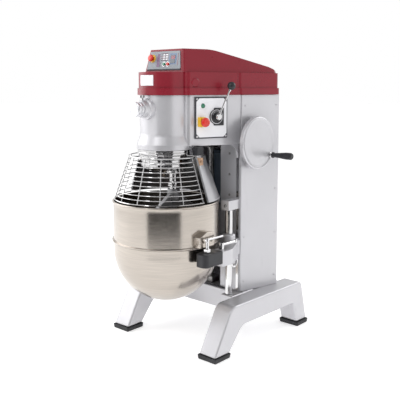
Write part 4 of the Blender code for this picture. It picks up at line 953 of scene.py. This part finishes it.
class MIXER_OT_side_controls(bpy.types.Operator):
    """Control plate on the head's side: seal, plate, lamp, stop button, dial and speed lever"""
    bl_idname = "mixer.side_controls"
    bl_label = "Side controls"

    def execute(self, context):
        middle, level = PLATE_AT
        seal = slab(filleted([(-0.086, -0.094, 0.004), (0.086, -0.094, 0.004), (0.086, 0.094, 0.004),
                              (-0.086, 0.094, 0.004)], 4), 0.0, 0.006, on_head_side(middle, level, 0.0005))
        piece("plate_seal", [seal], "dark_seal", nodes=["control_gasket"], edge=0.0012)
        face = 0.0068
        notched = [(-0.080, -0.072), (-0.064, -0.088), (0.064, -0.088), (0.080, -0.072),
                   (0.080, 0.072), (0.064, 0.088), (-0.064, 0.088), (-0.080, 0.072)]
        piece("notched_plate", [slab(notched, 0.0, 0.003, on_head_side(middle, level, face))],
              "white_plate", nodes=["control_plate"], edge=0.0009)
        screws = [socket_screw(on_head_side(middle + x, level + y, 0.0064), 0.0052, 0.0035)
                  for x in (-0.0765, 0.0765) for y in (-0.0845, 0.0845)]
        piece("plate_screws", screws, "bright_steel")
        front = face + 0.003
        bezel = lathe(filleted([(0.0112, 0.0045, 0.0), (0.0135, 0.0045, 0.001), (0.0150, 0.0, 0.0),
                                (0.0112, 0.0, 0.0)], 3), 48, on_head_side(*LAMP_AT, front), closed=True)
        piece("lamp_bezel", [bezel], "white_plate")
        lens = lathe(filleted([(0.0, 0.0122, 0.0), (0.007, 0.0112, 0.006), (0.0108, 0.006, 0.003),
                               (0.0108, 0.0, 0.0), (0.0, 0.0, 0.0)], 6, closed=False), 48,
                     on_head_side(*LAMP_AT, front + 0.0003))
        piece("lamp_lens", [lens], "lamp_green", nodes=["pilot_lamp"])

        base = slab([(-0.017, -0.022), (0.017, -0.022), (0.017, 0.022), (-0.017, 0.022)], 0.0, 0.022,
                    on_head_side(*STOP_AT, front + 0.0003), [arc(0.0095, 0.0, 348.75, 31)])
        piece("stop_housing", [base], "signal_yellow", nodes=["stop_button_base"], edge=0.0045, segments=4)
        mushroom = filleted([
            (0.0, 0.030, 0.0), (0.013, 0.0292, 0.012), (0.0205, 0.0245, 0.004), (0.0210, 0.0175, 0.002),
            (0.0185, 0.0140, 0.002), (0.0085, 0.0125, 0.001), (0.0085, 0.0, 0.0), (0.0, 0.0, 0.0)], 6,
            closed=False)
        piece("stop_mushroom", [lathe(mushroom, 64, on_head_side(*STOP_AT, front + 0.0226))],
              "button_red", "side_stop", ["stop_button"])

        along, height = DIAL_AT
        dark = slab(filleted([(-0.012, -0.040, 0.004), (0.041, -0.040, 0.002), (0.041, 0.040, 0.002),
                              (-0.012, 0.040, 0.004)], 5), 0.0, 0.0045,
                    on_head_side(along, height, front + 0.0001))
        piece("dial_backplate", [dark], "black_plastic", edge=0.001)
        dial = lathe(filleted([(0.0, 0.0095, 0.0), (0.0285, 0.0095, 0.001), (0.0335, 0.0060, 0.002),
                               (0.0340, 0.0, 0.0), (0.0, 0.0, 0.0)], 4, closed=False), 72,
                     on_head_side(along, height, front + 0.0003))
        piece("speed_dial", [dial], "black_plastic", nodes=["gear_dial"])
        ring = [lathe([(0.0305, 0.0088), (0.0322, 0.0080), (0.0316, 0.0072), (0.0300, 0.0078)], 72,
                      on_head_side(along, height, front + 0.0006), closed=True)]
        for step in range(9):
            angle = math.radians(90 - 60 + 15 * step)
            turn = Matrix.Rotation(angle, 4, 'Z')
            ring.append(block((0.0215, -0.0006, 0), (0.0275, 0.0006, 0.0004),
                              on_head_side(along, height, front + 0.0098) @ turn))
        piece("dial_marks", ring, "white_plate")

        boss = front + 0.010 + 0.0003
        place = on_head_side(along, height, boss)
        hub = lathe(filleted([(0.0, 0.024, 0.0), (0.0120, 0.024, 0.003), (0.0150, 0.019, 0.003),
                              (0.0150, 0.0, 0.0), (0.0, 0.0, 0.0)], 5, closed=False), 48, place)
        root = place @ Vector((0.004, 0.010, 0.014))
        tip = place @ Vector((0.045, 0.121, 0.036))
        stalk = rod(root, tip + (tip - root).normalized() * 0.004, 0.0045, 32, 0.0038)
        collar = rod(tip - (tip - root).normalized() * 0.006, tip + (tip - root).normalized() * 0.002,
                     0.0062, 32)
        piece("speed_lever", [hub, stalk, collar], "bright_steel", "speed_lever", ["gear_lever"])
        centre = tip + (tip - root).normalized() * 0.0195
        piece("lever_ball", [ball(centre, 0.0188)], "black_plastic", "speed_lever", ["gear_lever_knob"])
        return {'FINISHED'}


# ---------------------------------------------------------------- guard
def guard_radius(height):
    (top_r, top_z), (foot_r, foot_z) = GUARD_TOP, GUARD_FOOT
    return foot_r + (top_r - foot_r) * (height - foot_z) / (top_z - foot_z)


class MIXER_OT_guard(bpy.types.Operator):
    """Wire cage, rear sheet with folded edges, carrying ring and switch"""
    bl_idname = "mixer.guard"
    bl_label = "Guard"

    def execute(self, context):
        sizes = context.scene.mixer_sizes
        foot, top = GUARD_FOOT[1], GUARD_TOP[1]
        parts = []
        for row in range(sizes.guard_rings):
            share = row / (sizes.guard_rings - 1)
            height = foot + (top - foot) * share
            radius = sizes.wire * (1.5 if row in (0, sizes.guard_rings - 1) else 1.0)
            section = arc(radius, 0.0, 360.0, 8, (guard_radius(height), height))[:-1]
            parts.append(lathe(section, 72, closed=True, start=181.0, sweep=178.0))
        for rib in range(sizes.guard_ribs):
            angle = math.radians(181.5 + 177.0 * rib / (sizes.guard_ribs - 1))
            inset = 0.0028
            ends = [Vector(((guard_radius(z) - inset) * math.cos(angle), (guard_radius(z) - inset)
                            * math.sin(angle), z)) for z in (foot - 0.001, top + 0.001)]
            parts.append(rod(*ends, 0.0021, 12))
        piece("wire_cage", parts, "bright_steel", "guard", ["guard_cage"])

        def wall(offset, thick, start, sweep, steps, low, high):
            section = [(guard_radius(high) + offset + thick, high), (guard_radius(low) + offset + thick, low),
                       (guard_radius(low) + offset, low), (guard_radius(high) + offset, high)]
            return lathe(section, steps, closed=True, start=start, sweep=sweep)
        sheet = wall(SHEET_GAP, 0.002, 2.0, 176.0, 88, foot, top)
        hem = wall(SHEET_GAP + 0.0018, 0.003, 2.0, 176.0, 88, foot, foot + 0.008)
        crown = wall(SHEET_GAP + 0.0018, 0.003, 2.0, 176.0, 88, top - 0.008, top)
        piece("rear_sheet", [sheet, hem, crown], "brushed_sheet", nodes=["guard_sheet"])
        for side, start in (("right", 2.0), ("left", 166.0)):
            piece(f"sheet_post_{side}", [wall(SHEET_GAP + 0.0018, 0.008, start, 12.0, 12, foot + 0.001, top)],
                  "brushed_sheet", edge=0.002)
            reach = Matrix.Rotation(math.radians(start + 6.0), 4, 'Z')
            bracket = block((0.128, -0.016, 0.9090), (0.186, 0.016, 0.9120), reach)
            upright = block((0.128, -0.016, 0.9090), (0.132, 0.016, 0.9500), reach)
            foot_tab = block((0.1790, -0.016, 0.9030), (0.186, 0.016, 0.9100), reach)
            piece(f"sheet_bracket_{side}", [bracket, upright, foot_tab], "bright_steel", edge=0.001)
            along = Matrix.Rotation(math.radians(start + 4.5), 4, 'Z')
            fitting = block((0.184, -0.013, 0.868), (0.200, 0.015, 0.903), along)
            screw = socket_screw(along @ Matrix.Translation((0.200, 0.001, 0.886)) @ Matrix.Rotation(
                math.pi / 2, 4, 'Y'), 0.006, 0.003)
            piece(f"sheet_fitting_{side}", [fitting, screw], "brass_fitting", edge=0.0025)
        low, high = corners("guard_ring")
        ring = lathe([(0.1155, high.z), (0.1185, high.z), (0.1185, 0.8985), (0.1225, 0.8965), (0.1225, low.z),
                      (0.1155, low.z)], 128, closed=True)
        arms = [block((0.1165, -0.005, low.z), (0.168, 0.005, low.z + 0.003),
                      Matrix.Rotation(math.radians(30 + 60 * index), 4, 'Z')) for index in range(6)]
        piece("carrying_ring", [ring] + arms, "bright_steel", nodes=["guard_ring"], edge=0.0008)
        low, high = corners("guard_switch")
        body = block(low + Vector((0, 0, 0.003)), high)          # clear of the cage as it swings
        lid = block((low.x + 0.004, low.y - 0.001, low.z + 0.006),
                    (high.x - 0.004, low.y + 0.002, high.z - 0.006))
        gland = rod(((low.x + high.x) / 2, high.y - 0.002, (low.z + high.z) / 2),
                    ((low.x + high.x) / 2, high.y + 0.010, (low.z + high.z) / 2), 0.007)
        piece("guard_switch_case", [body, lid, gland], "black_plastic", nodes=["guard_switch"], edge=0.0015)
        return {'FINISHED'}


# ---------------------------------------------------------------- planetary drive
class MIXER_OT_planetary(bpy.types.Operator):
    """Polished carrier, agitator shaft with its pin and the cast beater"""
    bl_idname = "mixer.planetary"
    bl_label = "Planetary and beater"

    def execute(self, context):
        carrier = filleted([
            (0.0, 1.130, 0.0), (0.021, 1.130, 0.001), (0.021, 0.9145, 0.0), (0.094, 0.9145, 0.0),
            (0.094, 0.893, 0.0), (0.113, 0.893, 0.0015), (0.113, 0.880, 0.0015), (0.108, 0.878, 0.0),
            (0.108, 0.872, 0.0), (0.113, 0.870, 0.0015), (0.113, 0.858, 0.004), (0.096, 0.843, 0.010),
            (0.040, 0.836, 0.012), (0.030, 0.822, 0.004), (0.024, 0.804, 0.006), (0.014, 0.797, 0.004),
            (0.0, 0.796, 0.0)], 4, closed=False)
        bearing = lathe([(0.019, 0.842), (0.030, 0.842), (0.030, 0.8305), (0.027, 0.829), (0.019, 0.829)], 48,
                        Matrix.Translation((SHAFT_MIDDLE.x, SHAFT_MIDDLE.y, 0)), closed=True)
        bolts = []
        for index in range(6):
            angle = math.radians(20 + 60 * index)
            spot = Matrix.Translation((0.085 * math.cos(angle), 0.085 * math.sin(angle), 0.8425))
            bolts.append(socket_screw(spot @ Matrix.Rotation(math.pi, 4, 'X'), 0.005, 0.005))
        piece("polished_carrier", [lathe(carrier, 144), bearing] + bolts, "bright_steel", "planetary",
              ["planet_carrier"])

        centre = Matrix.Translation((SHAFT_MIDDLE.x, SHAFT_MIDDLE.y, 0))
        shaft = lathe(filleted([
            (0.0, 0.930, 0.0), (0.0183, 0.930, 0.001), (0.0183, 0.792, 0.001), (0.0253, 0.789, 0.001),
            (0.0253, 0.779, 0.001), (0.0183, 0.775, 0.001), (0.0183, 0.757, 0.001), (0.0, 0.757, 0.0)], 3,
            closed=False), 64, centre)
        pin = rod(SHAFT_MIDDLE * Vector((1, 1, 0)) + Vector((-0.030, 0, 0.768)),
                  SHAFT_MIDDLE * Vector((1, 1, 0)) + Vector((0.030, 0, 0.768)), 0.0045, 20)
        piece("polished_shaft", [shaft, pin], "bright_steel", "agitator", ["agitator_shaft"])

        width = 0.138
        outside = filleted([(-0.030, 0.735, 0.006), (-width, 0.660, 0.050), (-width, 0.420, 0.120),
                            (-0.060, 0.268, 0.050), (0.060, 0.268, 0.050), (width, 0.420, 0.120),
                            (width, 0.660, 0.050), (0.030, 0.735, 0.006)], 10)
        windows = []
        for low, high, low_x, high_x in ((0.602, 0.677, 0.112, 0.084), (0.492, 0.581, 0.113, 0.113),
                                         (0.387, 0.471, 0.080, 0.111), (0.302, 0.366, 0.044, 0.072)):
            for sign in (1.0, -1.0):
                hole = [(0.011, low, 0.008), (low_x, low, 0.010), (high_x, high, 0.010), (0.011, high, 0.008)]
                windows.append(filleted([(sign * x, z, r) for x, z, r in hole], 4))
        place = Matrix.Translation((SHAFT_MIDDLE.x, SHAFT_MIDDLE.y, 0)) @ SIDE_ON
        blade = slab(outside, -0.009, 0.009, place, windows)
        socket = lathe(filleted([(0.0188, 0.7565, 0.0), (0.0275, 0.7565, 0.002), (0.029, 0.745, 0.004),
                                 (0.029, 0.706, 0.006), (0.022, 0.692, 0.003), (0.0188, 0.692, 0.0)], 4), 64,
                       centre, closed=True)
        core = rod((SHAFT_MIDDLE.x, SHAFT_MIDDLE.y, 0.693), (SHAFT_MIDDLE.x, SHAFT_MIDDLE.y, 0.738), 0.0195)
        piece("cast_beater", [blade, socket, core], "cast_aluminium", "agitator", ["flat_beater"],
              edge=0.004, segments=3, sharp=50.0)
        return {'FINISHED'}


# ---------------------------------------------------------------- frame parts and stage
class MIXER_OT_frame_finishes(bpy.types.Operator):
    """Detailed finishes for the frame's own parts"""
    bl_idname = "mixer.frame_finishes"
    bl_label = "Frame finishes"

    def execute(self, context):
        for entry in frame["record"]["subparts"]:
            part = frame["nodes"][entry["node"]]
            material = MATERIALS[entry["material_slot"]]
            if part.material_slots:
                for held in part.material_slots:
                    held.material = material
            else:
                part.data.materials.append(material)
        return {'FINISHED'}


class MIXER_OT_stage(bpy.types.Operator):
    """Pale floor, soft lights and the camera"""
    bl_idname = "mixer.stage"
    bl_label = "Stage"

    def execute(self, context):
        scene = context.scene
        ground = bmesh.new()
        bmesh.ops.create_grid(ground, x_segments=1, y_segments=1, size=40.0)
        bmesh.ops.translate(ground, vec=(0, 0, -0.0005), verts=ground.verts)
        mesh = bpy.data.meshes.new("studio_floor")
        ground.to_mesh(mesh)
        ground.free()
        mesh.materials.append(MATERIALS["floor"])
        floor = bpy.data.objects.new("studio_floor", mesh)
        scene.collection.objects.link(floor)

        flag = lathe([(FLAG_RADIUS, 0.0), (FLAG_RADIUS, 3.2)], 24, Matrix.Translation(AXIS), start=-84.0,
                     sweep=68.0)              # dark card seen only in reflections
        mesh = bpy.data.meshes.new("studio_flag")
        flag.to_mesh(mesh)
        flag.free()
        mesh.materials.append(MATERIALS["studio_flag"])
        card = bpy.data.objects.new("studio_flag", mesh)
        for ray in ("camera", "diffuse", "shadow", "transmission", "volume_scatter"):
            setattr(card, "visible_" + ray, False)
        scene.collection.objects.link(card)

        world = bpy.data.worlds.new("studio")
        world.use_nodes = True
        tree = world.node_tree
        height = node(tree, "ShaderNodeSeparateXYZ", {
            "Vector": node(tree, "ShaderNodeTexCoord").outputs["Generated"]}).outputs["Z"]
        sky = node(tree, "ShaderNodeMapRange", {"Value": height, "From Min": 0.15, "From Max": 0.8,
                                                "To Min": 1.0, "To Max": 0.45}).outputs["Result"]
        tree.links.new(sky, tree.nodes["Background"].inputs["Strength"])
        tree.nodes["Background"].inputs["Color"].default_value = (1.0, 1.0, 1.0, 1.0)
        scene.world = world
        scene.view_settings.view_transform = 'Standard'
        aim = Vector((0.0, 0.0, 0.75))
        for name, place, size, power in (("key", (-2.9, -1.3, 2.3), 3.0, 60.0),
                                         ("fill", (0.6, -3.0, 3.4), 2.0, 42.0),
                                         ("rear", (1.2, 3.0, 2.6), 2.0, 30.0)):
            light = bpy.data.lights.new(name, 'AREA')
            light.size = size
            light.energy = power
            lamp = bpy.data.objects.new(name, light)
            lamp.location = place
            lamp.rotation_euler = (aim - Vector(place)).to_track_quat('-Z', 'Y').to_euler()
            scene.collection.objects.link(lamp)

        camera = bpy.data.cameras.new("camera")
        camera.sensor_width = 36.0
        camera.lens = 57.44
        camera.shift_y = -0.0823
        viewer = bpy.data.objects.new("camera", camera)
        viewer.location = (2.0245, -2.3080, 1.2179)
        viewer.rotation_euler = (math.radians(82.81), 0.0, math.radians(41.51))
        scene.collection.objects.link(viewer)
        scene.camera = viewer
        return {'FINISHED'}


class MIXER_PT_looks(bpy.types.Panel):
    """Mixer looks in the sidebar"""
    bl_idname = "MIXER_PT_looks"
    bl_label = "Planetary mixer"
    bl_space_type = 'VIEW_3D'
    bl_region_type = 'UI'
    bl_category = "Mixer"

    def draw(self, context):
        for group in (context.scene.mixer_colours, context.scene.mixer_sizes):
            for name in group.__annotations__:
                self.layout.prop(group, name)
        for operator in OPERATORS:
            self.layout.operator(operator.bl_idname)


OPERATORS = (MIXER_OT_stage, MIXER_OT_frame_finishes, MIXER_OT_base, MIXER_OT_column, MIXER_OT_lift,
             MIXER_OT_yoke, MIXER_OT_bowl, MIXER_OT_head, MIXER_OT_covers, MIXER_OT_timer,
             MIXER_OT_side_controls, MIXER_OT_guard, MIXER_OT_planetary)
CLASSES = (MixerColours, MixerSizes) + OPERATORS + (MIXER_PT_looks,)


def register():
    for made in CLASSES:
        bpy.utils.register_class(made)
    bpy.types.Scene.mixer_colours = PointerProperty(type=MixerColours)
    bpy.types.Scene.mixer_sizes = PointerProperty(type=MixerSizes)


def unregister():
    del bpy.types.Scene.mixer_sizes
    del bpy.types.Scene.mixer_colours
    for made in reversed(CLASSES):
        bpy.utils.unregister_class(made)


def main():
    register()
    make_materials(bpy.context.scene.mixer_colours)
    for operator in OPERATORS:
        group, name = operator.bl_idname.split(".")
        getattr(getattr(bpy.ops, group), name)()
    bpy.context.view_layer.update()


if __name__ == "__main__":
    main()
